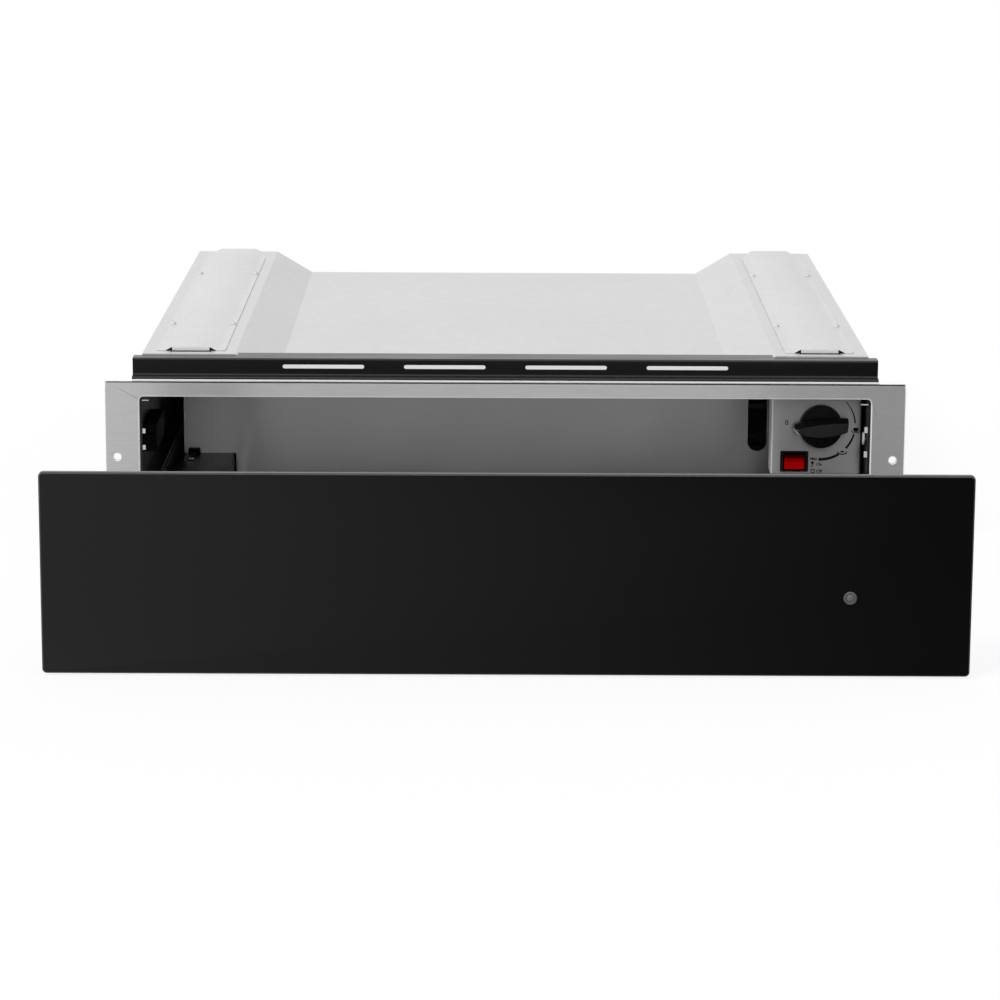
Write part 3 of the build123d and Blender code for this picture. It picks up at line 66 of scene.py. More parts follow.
def wired(tree, kind, inputs=None, **settings):
    """Adds a shader node, gives its inputs values or other nodes' outputs, returns its outputs."""
    node = tree.nodes.new("ShaderNode" + kind)
    for setting, value in settings.items():
        setattr(node, setting, value)
    for socket, value in (inputs or {}).items():
        if isinstance(value, bpy.types.NodeSocket):
            tree.links.new(value, node.inputs[socket])
        else:
            node.inputs[socket].default_value = value
    return node.outputs


def calculated(tree, operation, *values):
    """The result of one maths node."""
    return wired(tree, "Math", dict(enumerate(values)), operation=operation)[0]


def emptied(owner):
    """Switches a material or a world to nodes, and gives its cleared tree."""
    owner.use_nodes = True
    owner.node_tree.nodes.clear()
    return owner.node_tree


plain_white = (1, 1, 1, 1)
floor_finish = bpy.data.materials.new("studio_floor")
tree = emptied(floor_finish)
axes = wired(tree, "SeparateXYZ", {0: wired(tree, "TexCoord")["Object"]})
rays = wired(tree, "LightPath")
beneath = [
    calculated(tree, "LESS_THAN", calculated(tree, "ABSOLUTE", axes[axis]), half)
    for axis, half in zip("XY", casing_half)
]
open_floor = calculated(tree, "SUBTRACT", 1.0, calculated(tree, "MULTIPLY", *beneath))
shine_inputs = {
    "Value": axes["X"], "From Min": window_x, "From Max": shade_x, "To Min": window_shine,
    "To Max": shade_shine,
}
shine = wired(tree, "MapRange", shine_inputs, interpolation_type="SMOOTHSTEP")["Result"]
open_shine = calculated(tree, "MULTIPLY", shine, open_floor)
open_camera = calculated(tree, "MULTIPLY", rays["Is Camera Ray"], open_floor)
seen_share = calculated(tree, "MULTIPLY", open_camera, floor_lit_share)
paper = wired(tree, "BsdfDiffuse", {"Color": plain_white})[0]
white = wired(tree, "Emission")[0]
reflected = wired(tree, "Emission", {"Strength": open_shine})[0]
seen = wired(tree, "MixShader", {"Fac": seen_share, 1: paper, 2: white})[0]
mirrored = wired(tree, "MixShader", {"Fac": rays["Is Glossy Ray"], 1: seen, 2: reflected})[0]
wired(tree, "OutputMaterial", {"Surface": mirrored})

floor_mesh = bpy.data.meshes.new("studio_floor")
corners = [(x * floor_half, y * floor_half, 0) for x, y in ((-1, -1), (1, -1), (1, 1), (-1, 1))]
floor_mesh.from_pydata(corners, [], [(0, 1, 2, 3)])
floor_mesh.materials.append(floor_finish)
floor = bpy.data.objects.new("studio_floor", floor_mesh)
scene.collection.objects.link(floor)

room_light = 0.62
room_shine = ((0.0, 1.0), (0.44, 1.0), (0.58, 0.93), (0.85, 0.6), (1.0, 0.3))  # left to right
room = bpy.data.worlds.new("studio_room")
scene.world = room
tree = emptied(room)
rays = wired(tree, "LightPath")
lighting = wired(tree, "Background", {"Color": plain_white, "Strength": room_light})[0]
backdrop = wired(tree, "Background", {"Color": plain_white, "Strength": 1.0})[0]
sideways = wired(tree, "SeparateXYZ", {0: wired(tree, "TexCoord")["Generated"]})["X"]
across = wired(tree, "MapRange", {"Value": sideways, "From Min": -1.0})["Result"]
ramp = tree.nodes.new("ShaderNodeValToRGB")
tree.links.new(across, ramp.inputs["Fac"])
stops = ramp.color_ramp.elements
while len(stops) < len(room_shine):
    stops.new(0.5)
for stop, (place, level) in zip(stops, room_shine):
    stop.position = place
    stop.color = (level, level, level, 1)
mirrored_room = wired(tree, "Background", {"Color": ramp.outputs["Color"]})[0]
room_mix = {"Fac": rays["Is Glossy Ray"], 1: backdrop, 2: mirrored_room}
white_room = wired(tree, "MixShader", room_mix)[0]
shown = calculated(tree, "MAXIMUM", rays["Is Camera Ray"], rays["Is Glossy Ray"])
shown = calculated(tree, "MAXIMUM", shown, rays["Is Transmission Ray"])
choice = wired(tree, "MixShader", {"Fac": shown, 1: lighting, 2: white_room})[0]
wired(tree, "OutputWorld", {"Surface": choice})


def soft_sun(name, strength, spread, tilt, turn):
    """A wide, even lamp: tilt from straight overhead towards the front, then turned to the side."""
    lamp = bpy.data.lights.new(name, "SUN")
    lamp.energy = strength
    lamp.angle = math.radians(spread)
    sun = bpy.data.objects.new(name, lamp)
    sun.rotation_euler = (math.radians(tilt), 0, math.radians(turn))
    sun.visible_glossy = False
    scene.collection.objects.link(sun)


soft_sun("window_light", strength=1.25, spread=16, tilt=42, turn=-48)
soft_sun("fill_light", strength=0.35, spread=70, tilt=35, turn=45)

lens_mm = 121.57
sensor_mm = 36.0
lens_shift = -0.1  # a falling lens keeps the uprights nearly parallel
camera_place = Vector((-9.33, -2704.65, 597.75)) * MM
camera_tilt, camera_yaw, camera_roll = (math.radians(a) for a in (11.263, 0.127, 0.274))
optics = bpy.data.cameras.new("catalogue_camera")
optics.lens = lens_mm
optics.sensor_width = sensor_mm
optics.shift_y = lens_shift
camera = bpy.data.objects.new("catalogue_camera", optics)
camera.matrix_world = (
    Matrix.Translation(camera_place)
    @ Matrix.Rotation(-camera_yaw, 4, "Z")
    @ Matrix.Rotation(math.pi / 2 - camera_tilt, 4, "X")
    @ Matrix.Rotation(camera_roll, 4, "Z")
)
scene.collection.objects.link(camera)
scene.camera = camera

# ---------------- galvanised casing sheets
# The casing is folded from zinc-coated steel sheet. The zinc is a pale, even grey with faint
# crystals and a few long rolling marks. The parts are lapped and riveted together.
galvanised_grey = 0.715
galvanised_metal = 0.85  # the rest is a thin chalky film that takes shadows
spangle_size = 7 * MM


def triple(value):
    """Three of one number; a colour or a stretch of three numbers stays as it is."""
    return tuple(value) if hasattr(value, "__len__") else (value,) * 3


def new_finish(name, colour, roughness, metallic=0.0):
    """A material with its one shader, and the tree to add its texture to."""
    finish = bpy.data.materials.new(name)
    finish.use_nodes = True
    shader = finish.node_tree.nodes["Principled BSDF"]
    shader.inputs["Base Color"].default_value = (*triple(colour), 1)
    shader.inputs["Roughness"].default_value = roughness
    shader.inputs["Metallic"].default_value = metallic
    return finish, finish.node_tree, shader


def grain(tree, stretch, detail=3.0):
    """Noise on the object's own coordinates; stretch is its cycles per metre along each axis."""
    seat = {"Vector": wired(tree, "TexCoord")["Object"], "Scale": triple(stretch)}
    place = wired(tree, "Mapping", seat)["Vector"]
    return wired(tree, "TexNoise", {"Vector": place, "Scale": 1.0, "Detail": detail})["Fac"]


def scaled(tree, source, low, high, spread=(0.3, 0.7)):
    """A texture's spread of values stretched to run between two others."""
    limits = zip(("From Min", "From Max", "To Min", "To Max"), (*spread, low, high))
    return wired(tree, "MapRange", {"Value": source, **dict(limits)})["Result"]


def vary(tree, source, low, high, shader):
    """Drives the roughness between two values with a texture."""
    tree.links.new(scaled(tree, source, low, high), shader.inputs["Roughness"])


def tint(tree, source, dark, light, shader, spread=(0.3, 0.7)):
    """Drives the base colour between two colours with a texture."""
    share = scaled(tree, source, 0.0, 1.0, spread)
    colours = {"Factor": share, "A": (*triple(dark), 1), "B": (*triple(light), 1)}
    blend = wired(tree, "Mix", colours, data_type="RGBA")["Result"]
    tree.links.new(blend, shader.inputs["Base Color"])


def relief(tree, source, height, shader, strength=1.0):
    """Adds surface relief of a height in metres on top of any relief already there."""
    inputs = {"Strength": strength, "Distance": height, "Height": source}
    earlier = shader.inputs["Normal"].links
    if earlier:
        inputs["Normal"] = earlier[0].from_socket
    tree.links.new(wired(tree, "Bump", inputs)["Normal"], shader.inputs["Normal"])


def shade_of(colour, factor):
    """The same colour, darker or lighter."""
    return tuple(min(1.0, part * factor) for part in triple(colour))


def textured(
    name, colour, roughness, metallic=0.0, specular=0.5, rough=None, tones=None, skin=None,
    detail=3.0, dials=None,
):
    """A material whose roughness, tone and fine relief each follow a noise of their own.

    rough and tones are a stretch and two limits, skin is a stretch and a height in millimetres,
    and dials are further sockets of the shader with their values.
    """
    finish, tree, shader = new_finish(name, colour, roughness, metallic)
    for dial, value in {"Specular IOR Level": specular, **(dials or {})}.items():
        shader.inputs[dial].default_value = value
    if rough:
        vary(tree, grain(tree, rough[0], detail), *rough[1:], shader)
    if tones:
        tint(tree, grain(tree, tones[0], detail), *tones[1:], shader)
    if skin:
        relief(tree, grain(tree, skin[0], detail), skin[1] * MM, shader)
    return finish


def galvanised(name, colour, roughness):
    """Zinc coating: faint crystals, soft clouding and long rolling marks."""
    finish, tree, shader = new_finish(name, colour, roughness, metallic=galvanised_metal)
    seat = {"Vector": wired(tree, "TexCoord")["Object"], "Scale": 1 / spangle_size}
    crystals = wired(tree, "TexVoronoi", seat)["Color"]
    grey = wired(tree, "RGBToBW", {"Color": crystals})["Val"]
    tint(tree, grey, shade_of(colour, 0.985), shade_of(colour, 1.012), shader)
    vary(tree, grain(tree, (9, 5, 9)), roughness - 0.03, roughness + 0.03, shader)
    relief(tree, grain(tree, (60, 3, 60), 1.0), 0.008 * MM, shader)
    return finish


def paint(finish, *node_names):
    """Gives a finish to CAD nodes that are shown as they are."""
    for node_name in node_names:
        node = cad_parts[node_name]
        node.data.materials.clear()
        node.data.materials.append(finish)


zinc_sheet = galvanised("zinc_sheet", galvanised_grey, 0.42)
# The sheets inside the casing get the same zinc painted darker, as painted shade for the dark
# cavity.
painted_shade_zinc = galvanised("painted_shade_zinc", shade_of(galvanised_grey, 0.7), 0.5)
paint(zinc_sheet, "top_sheet", "base_plate", "rear_panel")
paint(painted_shade_zinc, "cavity_ceiling", "control_housing")

# ---------------- side walls
# Each wall is one galvanised sheet. Its inner face is coated black beside the mouth, so that
# nothing glints behind the drawer; the outside stays bare zinc.
wall_thickness = 1 * MM
weld_gap = 0.002 * MM  # vertices of a CAD mesh that lie closer than this are one


def clean_copy(node_name):
    """A CAD node's shape as one mesh with its triangles merged into plain faces."""
    copy = bmesh.new()
    copy.from_mesh(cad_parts[node_name].data)
    bmesh.ops.remove_doubles(copy, verts=copy.verts, dist=weld_gap)
    bmesh.ops.dissolve_limit(
        copy, angle_limit=math.radians(0.5), verts=copy.verts, edges=copy.edges
    )
    return copy


def finished_piece(name, shape, finishes, body, sharp_angle=30):
    """Turns a built shape into a piece that rides on a body and shows its finishes."""
    mesh = bpy.data.meshes.new(name)
    shape.to_mesh(mesh)
    shape.free()
    for finish in finishes:
        mesh.materials.append(finish)
    mesh.shade_smooth()
    mesh.set_sharp_from_angle(angle=math.radians(sharp_angle))
    piece = bpy.data.objects.new(name, mesh)
    scene.collection.objects.link(piece)
    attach(piece, body)
    return piece


def round_edges(piece, radius, segments=2, angle=40):
    """Rolls the sharp edges of a piece over, as pressed sheet and mouldings have them."""
    bevel = piece.modifiers.new("rounded edges", "BEVEL")
    bevel.width = radius
    bevel.segments = segments
    bevel.limit_method = "ANGLE"
    bevel.angle_limit = math.radians(angle)
    bevel.harden_normals = True
    return piece


def block(shape, centre, size):
    """Adds a plain box to a shape."""
    made = bmesh.ops.create_cube(shape, size=1.0)["verts"]
    bmesh.ops.scale(shape, vec=size, verts=made)
    bmesh.ops.translate(shape, vec=centre, verts=made)


def refined(name, node_name, finishes, body, slot_name, rounding=0.0, shape=None, sharp_angle=30):
    """A finished piece in place of a CAD node: its clean copy, or a shape built for it."""
    shape = clean_copy(node_name) if shape is None else shape
    piece = finished_piece(name, shape, finishes, body, sharp_angle)
    if rounding:
        round_edges(piece, rounding)
    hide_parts(node_name)


black_coat_and_painted_shadow = textured("black_coat_and_painted_shadow", 0.006, 0.42, rough=(40, 0.36, 0.5), skin=(900, 0.01))
coated_front_depth = 2.5 * MM  # the coat also covers the edges just behind the frame
inner_face_play = 0.1 * MM
wall_front_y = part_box("side_wall_left")[0].y
wall_inner_x = abs(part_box("base_plate")[0].x) - wall_thickness
for side, facing in (("left", 1), ("right", -1)):
    wall = clean_copy(f"side_wall_{side}")
    for face in wall.faces:
        centre = face.calc_center_median()
        on_inner_side = (centre.x + facing * wall_inner_x) * facing > -inner_face_play
        behind_frame = centre.y < wall_front_y + coated_front_depth
        face.material_index = 1 if on_inner_side or behind_frame else 0
    wall_finishes = (zinc_sheet, black_coat_and_painted_shadow)
    names = (f"coated_wall_{side}", f"side_wall_{side}")
    refined(*names, wall_finishes, "casing", "galvanised_steel", shape=wall)

# ---------------- rest rails and their rivets
# Two shallow hat-section rails on the shoulders carry the oven above. Each is held by four
# domed steel rivets, and its front end is bent down into a short tab. The tab's front faces are
# painted near white as a painted highlight, and a thin black sheet under it is painted shadow.
rivet_dome = 1.3 * MM
rivet_radius = 2.3 * MM
rivet_collar = 3.0 * MM
mandrel_radius = 0.8 * MM
mandrel_depth = 0.9 * MM


def turned(profile, steps=32):
    """A round shape turned about the Z axis from (radius, height) points, closed at its poles."""
    shape = bmesh.new()
    rings = []
    for radius, height in profile:
        if radius == 0:
            rings.append([shape.verts.new((0, 0, height))])
            continue
        angles = [2 * math.pi * step / steps for step in range(steps)]
        rings.append(
            [shape.verts.new((radius * math.cos(a), radius * math.sin(a), height)) for a in angles]
        )
    for lower, upper in zip(rings, rings[1:]):
        for step in range(steps):
            after = (step + 1) % steps
            corners = [lower[step % len(lower)], lower[after % len(lower)]]
            corners += [upper[after % len(upper)], upper[step % len(upper)]]
            unique = list(dict.fromkeys(corners))
            if len(unique) > 2:
                shape.faces.new(unique)
    bmesh.ops.recalc_face_normals(shape, faces=shape.faces)
    return shape


def pattern_head(name, shape):
    """A small loose object that a repeat tree sets out; it is removed once the pattern is made."""
    mesh = bpy.data.meshes.new(name)
    shape.to_mesh(mesh)
    shape.free()
    mesh.shade_smooth()
    mesh.set_sharp_from_angle(angle=math.radians(40))
    return bpy.data.objects.new(name, mesh)


def grown(name, mesh, inputs, nodes, strands, body):
    """Runs a repeat tree on a mesh, and keeps what it makes as one piece.

    inputs gives each socket's kind, value and goal. A strand joins nodes one after the other; a
    colon names the output that it starts from, or the input that it ends in.
    """
    group = bpy.data.node_groups.new(name + "_pattern", "GeometryNodeTree")
    identifiers = {}
    for label, (kind, value, goal) in inputs.items():
        socket_type = "NodeSocket" + kind
        socket = group.interface.new_socket(label, in_out="INPUT", socket_type=socket_type)
        identifiers[label] = socket.identifier
        strands += (f"given:{label} > {goal}",)
    group.interface.new_socket("Pattern", in_out="OUTPUT", socket_type="NodeSocketGeometry")
    made = {label: group.nodes.new("GeometryNode" + kind) for label, kind in nodes.items()}
    made["given"] = group.nodes.new("NodeGroupInput")
    made["result"] = group.nodes.new("NodeGroupOutput")
    for strand in strands:
        steps = [step.partition(":")[::2] for step in strand.split(" > ")]
        for (source, output), (target, entry) in zip(steps, steps[1:]):
            group.links.new(made[source].outputs[output or 0], made[target].inputs[entry or 0])
    maker = bpy.data.objects.new(name + "_maker", mesh)
    scene.collection.objects.link(maker)
    pattern = maker.modifiers.new("pattern", "NODES")
    pattern.node_group = group
    for label, (kind, value, goal) in inputs.items():
        if value is not None:
            pattern[identifiers[label]] = value
    return keep_mesh(name, maker, body)


def set_out(name, node_name, seats, head, turn, body):
    """Sets a plated head on every seat point with a node tree, in place of a CAD node."""
    seat_mesh = bpy.data.meshes.new(name + "_seats")
    seat_mesh.from_pydata(seats, [], [])
    inputs = {
        "Seats": ("Geometry", None, "placed:Points"),
        "Head": ("Object", head, "head:Object"),
        "Turn": ("Rotation", [math.radians(angle) for angle in turn], "placed:Rotation"),
        "Finish": ("Material", bright_zinc, "coloured:Material"),
    }
    nodes = {
        "head": "ObjectInfo", "placed": "InstanceOnPoints", "real": "RealizeInstances",
        "coloured": "SetMaterial",
    }
    strands = ("head:Geometry > placed:Instance", "placed > real > coloured > result")
    heads = grown(name, seat_mesh, inputs, nodes, strands, body)
    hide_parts(node_name)


def keep_mesh(name, maker, body):
    """Bakes what a maker object shows into a plain mesh that rides on a body."""
    ready = maker.evaluated_get(bpy.context.evaluated_depsgraph_get())
    mesh = bpy.data.meshes.new_from_object(ready)
    mesh.name = name
    bpy.data.objects.remove(maker)
    piece = bpy.data.objects.new(name, mesh)
    scene.collection.objects.link(piece)
    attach(piece, body)
    return piece


def solid_boxes(node_name):
    """The box round every small solid in a CAD node, as its low and its high corner."""
    loose = bmesh.new()
    loose.from_mesh(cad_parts[node_name].data)
    bmesh.ops.remove_doubles(loose, verts=loose.verts, dist=weld_gap)
    waiting = set(loose.verts)
    boxes = []
    while waiting:
        group, edge = [], [waiting.pop()]
        while edge:
            vert = edge.pop()
            group.append(vert.co.copy())
            for link in vert.link_edges:
                other = link.other_vert(vert)
                if other in waiting:
                    waiting.remove(other)
                    edge.append(other)
        low = Vector(min(point[axis] for point in group) for axis in range(3))
        high = Vector(max(point[axis] for point in group) for axis in range(3))
        boxes.append((low, high))
    loose.free()
    return boxes


bright_zinc = textured("bright_zinc", 0.8, 0.24, 0.9, rough=(500, 0.18, 0.34), skin=(700, 0.01))
rail_zinc = galvanised("rail_zinc", shade_of(galvanised_grey, 1.01), 0.38)
painted_highlight_zinc = textured("painted_highlight_zinc", 0.95, 0.4, 0.2, rough=(200, 0.35, 0.45))
highlight_facing = 0.3  # the least share by which a face of the tab looks to the front and gets the painted highlight
painted_shadow_width = 30 * MM  # a thin black sheet under the rail's tab is painted shadow, for the dark slot in the shoulder
painted_shadow_depth = 5 * MM
painted_shadow_lead = 1.5 * MM
painted_shadow_lift = 0.15 * MM
for side in ("left", "right"):
    rail_shape = clean_copy(f"rest_rail_{side}")
    rail_shape.normal_update()
    for face in rail_shape.faces:
        face.material_index = 1 if face.normal.y < -highlight_facing else 0
    names = (f"formed_rail_{side}", f"rest_rail_{side}")
    rail_finishes = (rail_zinc, painted_highlight_zinc)
    refined(*names, rail_finishes, "casing", "galvanised_steel", 0.3 * MM, rail_shape)
    rail_low, rail_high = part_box(f"rest_rail_{side}")
    # A thin black sheet on the shoulder under each tab: painted shadow, not a real opening. It uses
    # the walls' black coat.
    painted_shadow = bmesh.new()
    block(
        painted_shadow,
        ((rail_low.x + rail_high.x) / 2, rail_low.y - painted_shadow_lead, rail_low.z + painted_shadow_lift),
        (painted_shadow_width, painted_shadow_depth, 2 * painted_shadow_lift),
    )
    finished_piece(f"rail_opening_{side}", painted_shadow, (black_coat_and_painted_shadow,), "casing")

dome_steps = 6
collar_edge, collar_top = 0.15 * MM, 0.3 * MM
dome_profile = [(0, 0), (rivet_collar, 0), (rivet_collar, collar_edge), (rivet_radius, collar_top)]
for step in range(1, dome_steps + 1):
    angle = math.pi / 2 * step / dome_steps
    across = mandrel_radius + (rivet_radius - mandrel_radius) * math.cos(angle)
    dome_profile.append((across, collar_top + rivet_dome * math.sin(angle)))
mandrel_seat = collar_top + rivet_dome - mandrel_depth
dome_profile += [(mandrel_radius, mandrel_seat), (0, mandrel_seat)]
dome = pattern_head("rivet_dome", turned(dome_profile, steps=20))
rail_seats = [
    ((low.x + high.x) / 2, (low.y + high.y) / 2, low.z)
    for low, high in solid_boxes("rest_rail_rivets")
]
set_out("domed_rail_rivets", "rest_rail_rivets", rail_seats, dome, (0, 0, 0), "casing")
wall_boxes = solid_boxes("casing_rivets")
for side, outward in (("left", -1), ("right", 1)):
    seats = [
        (low.x if outward > 0 else high.x, (low.y + high.y) / 2, (low.z + high.z) / 2)
        for low, high in wall_boxes
        if low.x * outward > 0
    ]
    turn = (0, 90 * outward, 0)
    set_out(f"domed_wall_rivets_{side}", "casing_rivets", seats, dome, turn, "casing")
bpy.data.objects.remove(dome)

# ---------------- black ventilation strip
# A folded steel strip above the frame lets cooling air out through four long slots. It has a
# smooth satin black powder coat; its up-facing faces are given a lighter, glossier black as a
# painted sheen.
# Its top reaches back over the trough.
strip_coat = {"rough": ((12, 60, 60), 0.26, 0.36)}
strip_black = textured(
    "strip_black", 0.004, 0.3, specular=0.22, skin=(1400, 0.006), **strip_coat
)
painted_sheen_black = textured("painted_sheen_black", 0.012, 0.3, specular=0.55, **strip_coat)
sheen_facing = 0.3  # the least share by which a face looks up and gets the painted sheen
trough_edge_x = 199 * MM
strip_top_depth = 10.5 * MM
strip_top_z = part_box("vent_strip")[1].z
sheet_front_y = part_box("top_sheet")[0].y
strip_shape = clean_copy("vent_strip")
block(
    strip_shape,
    (0, sheet_front_y + strip_top_depth / 2, strip_top_z - wall_thickness / 2),
    (2 * trough_edge_x, strip_top_depth, wall_thickness),
)
strip_shape.normal_update()
for face in strip_shape.faces:
    face.material_index = 1 if face.normal.z > sheen_facing else 0
refined(
    "coated_vent_strip", "vent_strip", (strip_black, painted_sheen_black), "casing", "black_steel",
    0.2 * MM, strip_shape,
)

# ---------------- stainless front frame
# The flange that laps the cabinet is brushed stainless steel, brushed along its length. Its
# edges are pressed round, and a sunk hole on each side takes a wood screw. The rolled front edges
# and the countersinks are painted near white as a painted highlight, and a thin near-white strip
# along the top, under the vent strip, is a painted highlight line.
rolled_edge = 0.9 * MM
brushing_spread = 0.95
brush_clouds = 0.03  # how far the brushing's tone wanders, and how far its roughness does
brush_play = 0.015


def brushed(name, colour, roughness, along, wave=0.0):
    """Metal brushed along one axis; the brushing spreads its shine across that axis.

    Thin sheet also has slow waves, which turn its shine from side to side.
    """
    finish, tree, shader = new_finish(name, colour, roughness, metallic=1.0)
    fine = [1500.0] * 3
    fine[along] = 60.0
    brush = grain(tree, fine, 2.0)
    dark, light = shade_of(colour, 1 - brush_clouds), shade_of(colour, 1 + brush_clouds)
    tint(tree, brush, dark, light, shader)
    vary(tree, brush, roughness - brush_play, roughness + brush_play, shader)
    relief(tree, brush, 0.002 * MM, shader, 0.05)
    if wave:
        relief(tree, grain(tree, (14, 1, 6), 1.0), wave, shader)
    if along == 0:
        lay = wired(tree, "Tangent", direction_type="RADIAL", axis="Z")["Tangent"]
        tree.links.new(lay, shader.inputs["Tangent"])
        shader.inputs["Anisotropic"].default_value = brushing_spread
        shader.inputs["Anisotropic Rotation"].default_value = 0.25
    return finish


face_play = 0.05 * MM


def mark_front_rim(shape, front_y, left_sharp):
    """Marks the edges round a sheet's front face for rolling, as the press leaves them."""
    weight = shape.edges.layers.float.new("bevel_weight_edge")
    for edge in shape.edges:
        in_front = all(abs(vert.co.y - front_y) < face_play for vert in edge.verts)
        at_rim = any(
            abs(face.calc_center_median().y - front_y) > face_play for face in edge.link_faces
        )
        edge[weight] = 1.0 if in_front and at_rim and not left_sharp(edge.verts[0].co) else 0.0


frame_steel = brushed("frame_steel", 0.74, 0.32, along=0, wave=0.8 * MM)
# Near-white rough metal: a painted highlight on the rolled edges, the countersinks, the top line
# and the back wall's hem.
painted_edge_highlight = textured("painted_edge_highlight", 0.97, 0.5, 0.15, rough=(400, 0.45, 0.55))
frame_shape = clean_copy("front_frame")
frame_low, frame_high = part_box("front_frame")
fixing_inset = 8.7 * MM
fixing_x = frame_high.x - fixing_inset
fixing_z = 66.5 * MM
fixing_reach = 5 * MM
sunk_facing = (0.2, 0.95)  # how much a countersink's faces look to the front


def at_fixing_hole(point):
    """Whether a point of the frame lies at one of its two screw holes."""
    return math.hypot(abs(point.x) - fixing_x, point.z - fixing_z) < fixing_reach


mark_front_rim(frame_shape, frame_low.y, at_fixing_hole)
frame_shape.normal_update()
# The countersink's faces get the painted highlight.
for face in frame_shape.faces:
    sunk = sunk_facing[0] < -face.normal.y < sunk_facing[1]
    if sunk and at_fixing_hole(face.calc_center_median()):
        face.material_index = 1
flange = finished_piece(
    "pressed_front_frame", frame_shape, (frame_steel, painted_edge_highlight), "casing"
)
flange.data.shade_flat()
rolled = round_edges(flange, rolled_edge, 4).modifiers["rounded edges"]
rolled.harden_normals = False
rolled.limit_method = "WEIGHT"
rolled.use_clamp_overlap = False
rolled.material = 1
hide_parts("front_frame")
# A thin near-white strip along the frame's top edge: a painted highlight line.
top_highlight_height = 1.3 * MM
top_highlight_proud = 0.1 * MM
top_highlight_shape = bmesh.new()
block(
    top_highlight_shape,
    (0, frame_low.y - top_highlight_proud / 2, frame_high.z + top_highlight_height / 2),
    (2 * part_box("vent_strip")[1].x, top_highlight_proud, top_highlight_height),
)
finished_piece("bare_fold", top_highlight_shape, (painted_edge_highlight,), "casing")

# ---------------- control plate and its printing
# A small stainless plate inside the mouth carries the knob and the switch. Its left fold is given a
# pale, rough metal as a painted highlight. A heat scale runs round the knob, thin at its cool end
# and thick at its hot end, in black print.
plate_steel = brushed("plate_steel", 0.47, 0.32, along=0, wave=0.3 * MM)
painted_glint = textured("painted_glint", 0.85, 0.55, 0.6, rough=(300, 0.5, 0.6))
plate_fold_width = 1.1 * MM
plate_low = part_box("control_plate")[0]
plate_shape = clean_copy("control_plate")
for face in plate_shape.faces:
    if face.calc_center_median().x < plate_low.x + plate_fold_width:
        face.material_index = 1
refined(
    "pressed_control_plate", "control_plate", (plate_steel, painted_glint), "casing",
    "stainless_steel", 0.3 * MM, plate_shape,
)

print_ink = textured("print_ink", 0.004, 0.6, specular=0.2, tones=(3000, 0.003, 0.006))
plate_face_y = plate_low.y
spindle_low, spindle_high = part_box("thermostat_spindle")
knob_x = (spindle_low.x + spindle_high.x) / 2
knob_z = (spindle_low.z + spindle_high.z) / 2
print_thickness = 0.06 * MM
scale_radius = 25.9 * MM
scale_start, scale_end = 44.0, -92.0  # degrees from +X, from the cool end to the hot end
scale_thin, scale_thick = 0.6 * MM, 2.3 * MM
scale_gaps = ((4.0, -14.5), (-42.0, -57.0))  # where the two pictograms interrupt the line


def printed(shape, outline):
    """Adds one flat printed mark on the plate, from (x, z) points in millimetres."""
    back = [shape.verts.new((x * MM, plate_face_y, z * MM)) for x, z in outline]
    front = [shape.verts.new((x * MM, plate_face_y - print_thickness, z * MM)) for x, z in outline]
    shape.faces.new(back)
    shape.faces.new(list(reversed(front)))
    for index in range(len(outline)):
        after = (index + 1) % len(outline)
        shape.faces.new((back[index], front[index], front[after], back[after]))


def scale_point(angle, side):
    """A point on the scale's inner (-1) or outer (1) edge; the line grows towards the hot end."""
    share = (angle - scale_start) / (scale_end - scale_start)
    width = scale_thin + (scale_thick - scale_thin) * share
    radius = scale_radius + side * width / 2
    turn = math.radians(angle)
    return (
        (knob_x + radius * math.cos(turn)) / MM,
        (knob_z + radius * math.sin(turn)) / MM,
    )


marks = bmesh.new()
scale_breaks = [scale_start, *(edge for gap in scale_gaps for edge in gap), scale_end]
degrees_per_step = 3.0
for begin, stop in zip(scale_breaks[::2], scale_breaks[1::2]):
    count = max(2, round(abs(stop - begin) / degrees_per_step))
    angles = [begin + (stop - begin) * step / count for step in range(count + 1)]
    outer = [scale_point(angle, 1) for angle in angles]
    inner = [scale_point(angle, -1) for angle in reversed(angles)]
    printed(marks, outer + inner)


def ellipse(centre, radii, begin, stop, count=16):
    """Points along an arc of an ellipse, in millimetres; a whole one has no double point."""
    angles = [math.radians(begin + (stop - begin) * step / count) for step in range(count + 1)]
    if stop - begin == 360:
        angles.pop()
    return [
        (centre[0] + radii[0] * math.cos(a), centre[1] + radii[1] * math.sin(a)) for a in angles
    ]


cup, bowl = (261.9, 84.3), (252.1, 67.0)
lamp_mark, box_mark = (230.0, 58.5), (230.3, 53.1)
arcs = (  # mark, lift, radii outside, radii inside where it is open, begin and end in degrees
    (cup, 1.1, (2.3, 1.1), None, 0, 360),
    (cup, 0.4, (1.9, 1.6), None, 180, 360),
    (cup, -0.2, (3.6, 1.9), (2.9, 1.3), 170, 370),
    (bowl, 0.9, (3.9, 2.2), (3.0, 1.3), 175, 365),
    (bowl, 1.1, (1.7, 0.6), None, 0, 360),
    (lamp_mark, 1.0, (1.1, 1.1), None, 0, 360),
)
for (x, z), lift, outside, inside, begin, stop in arcs:
    outline = ellipse((x, z + lift), outside, begin, stop)
    if inside:
        outline += ellipse((x, z + lift), inside, stop, begin)
    printed(marks, outline)
bars = (  # mark, shift, lift, width, height
    (lamp_mark, -0.2, -1.2, 0.9, 1.8),
    (box_mark, 0, 1.2, 3.0, 0.6),
    (box_mark, 0, -1.2, 3.0, 0.6),
    (box_mark, -1.2, 0, 0.6, 3.0),
    (box_mark, 1.2, 0, 0.6, 3.0),
)
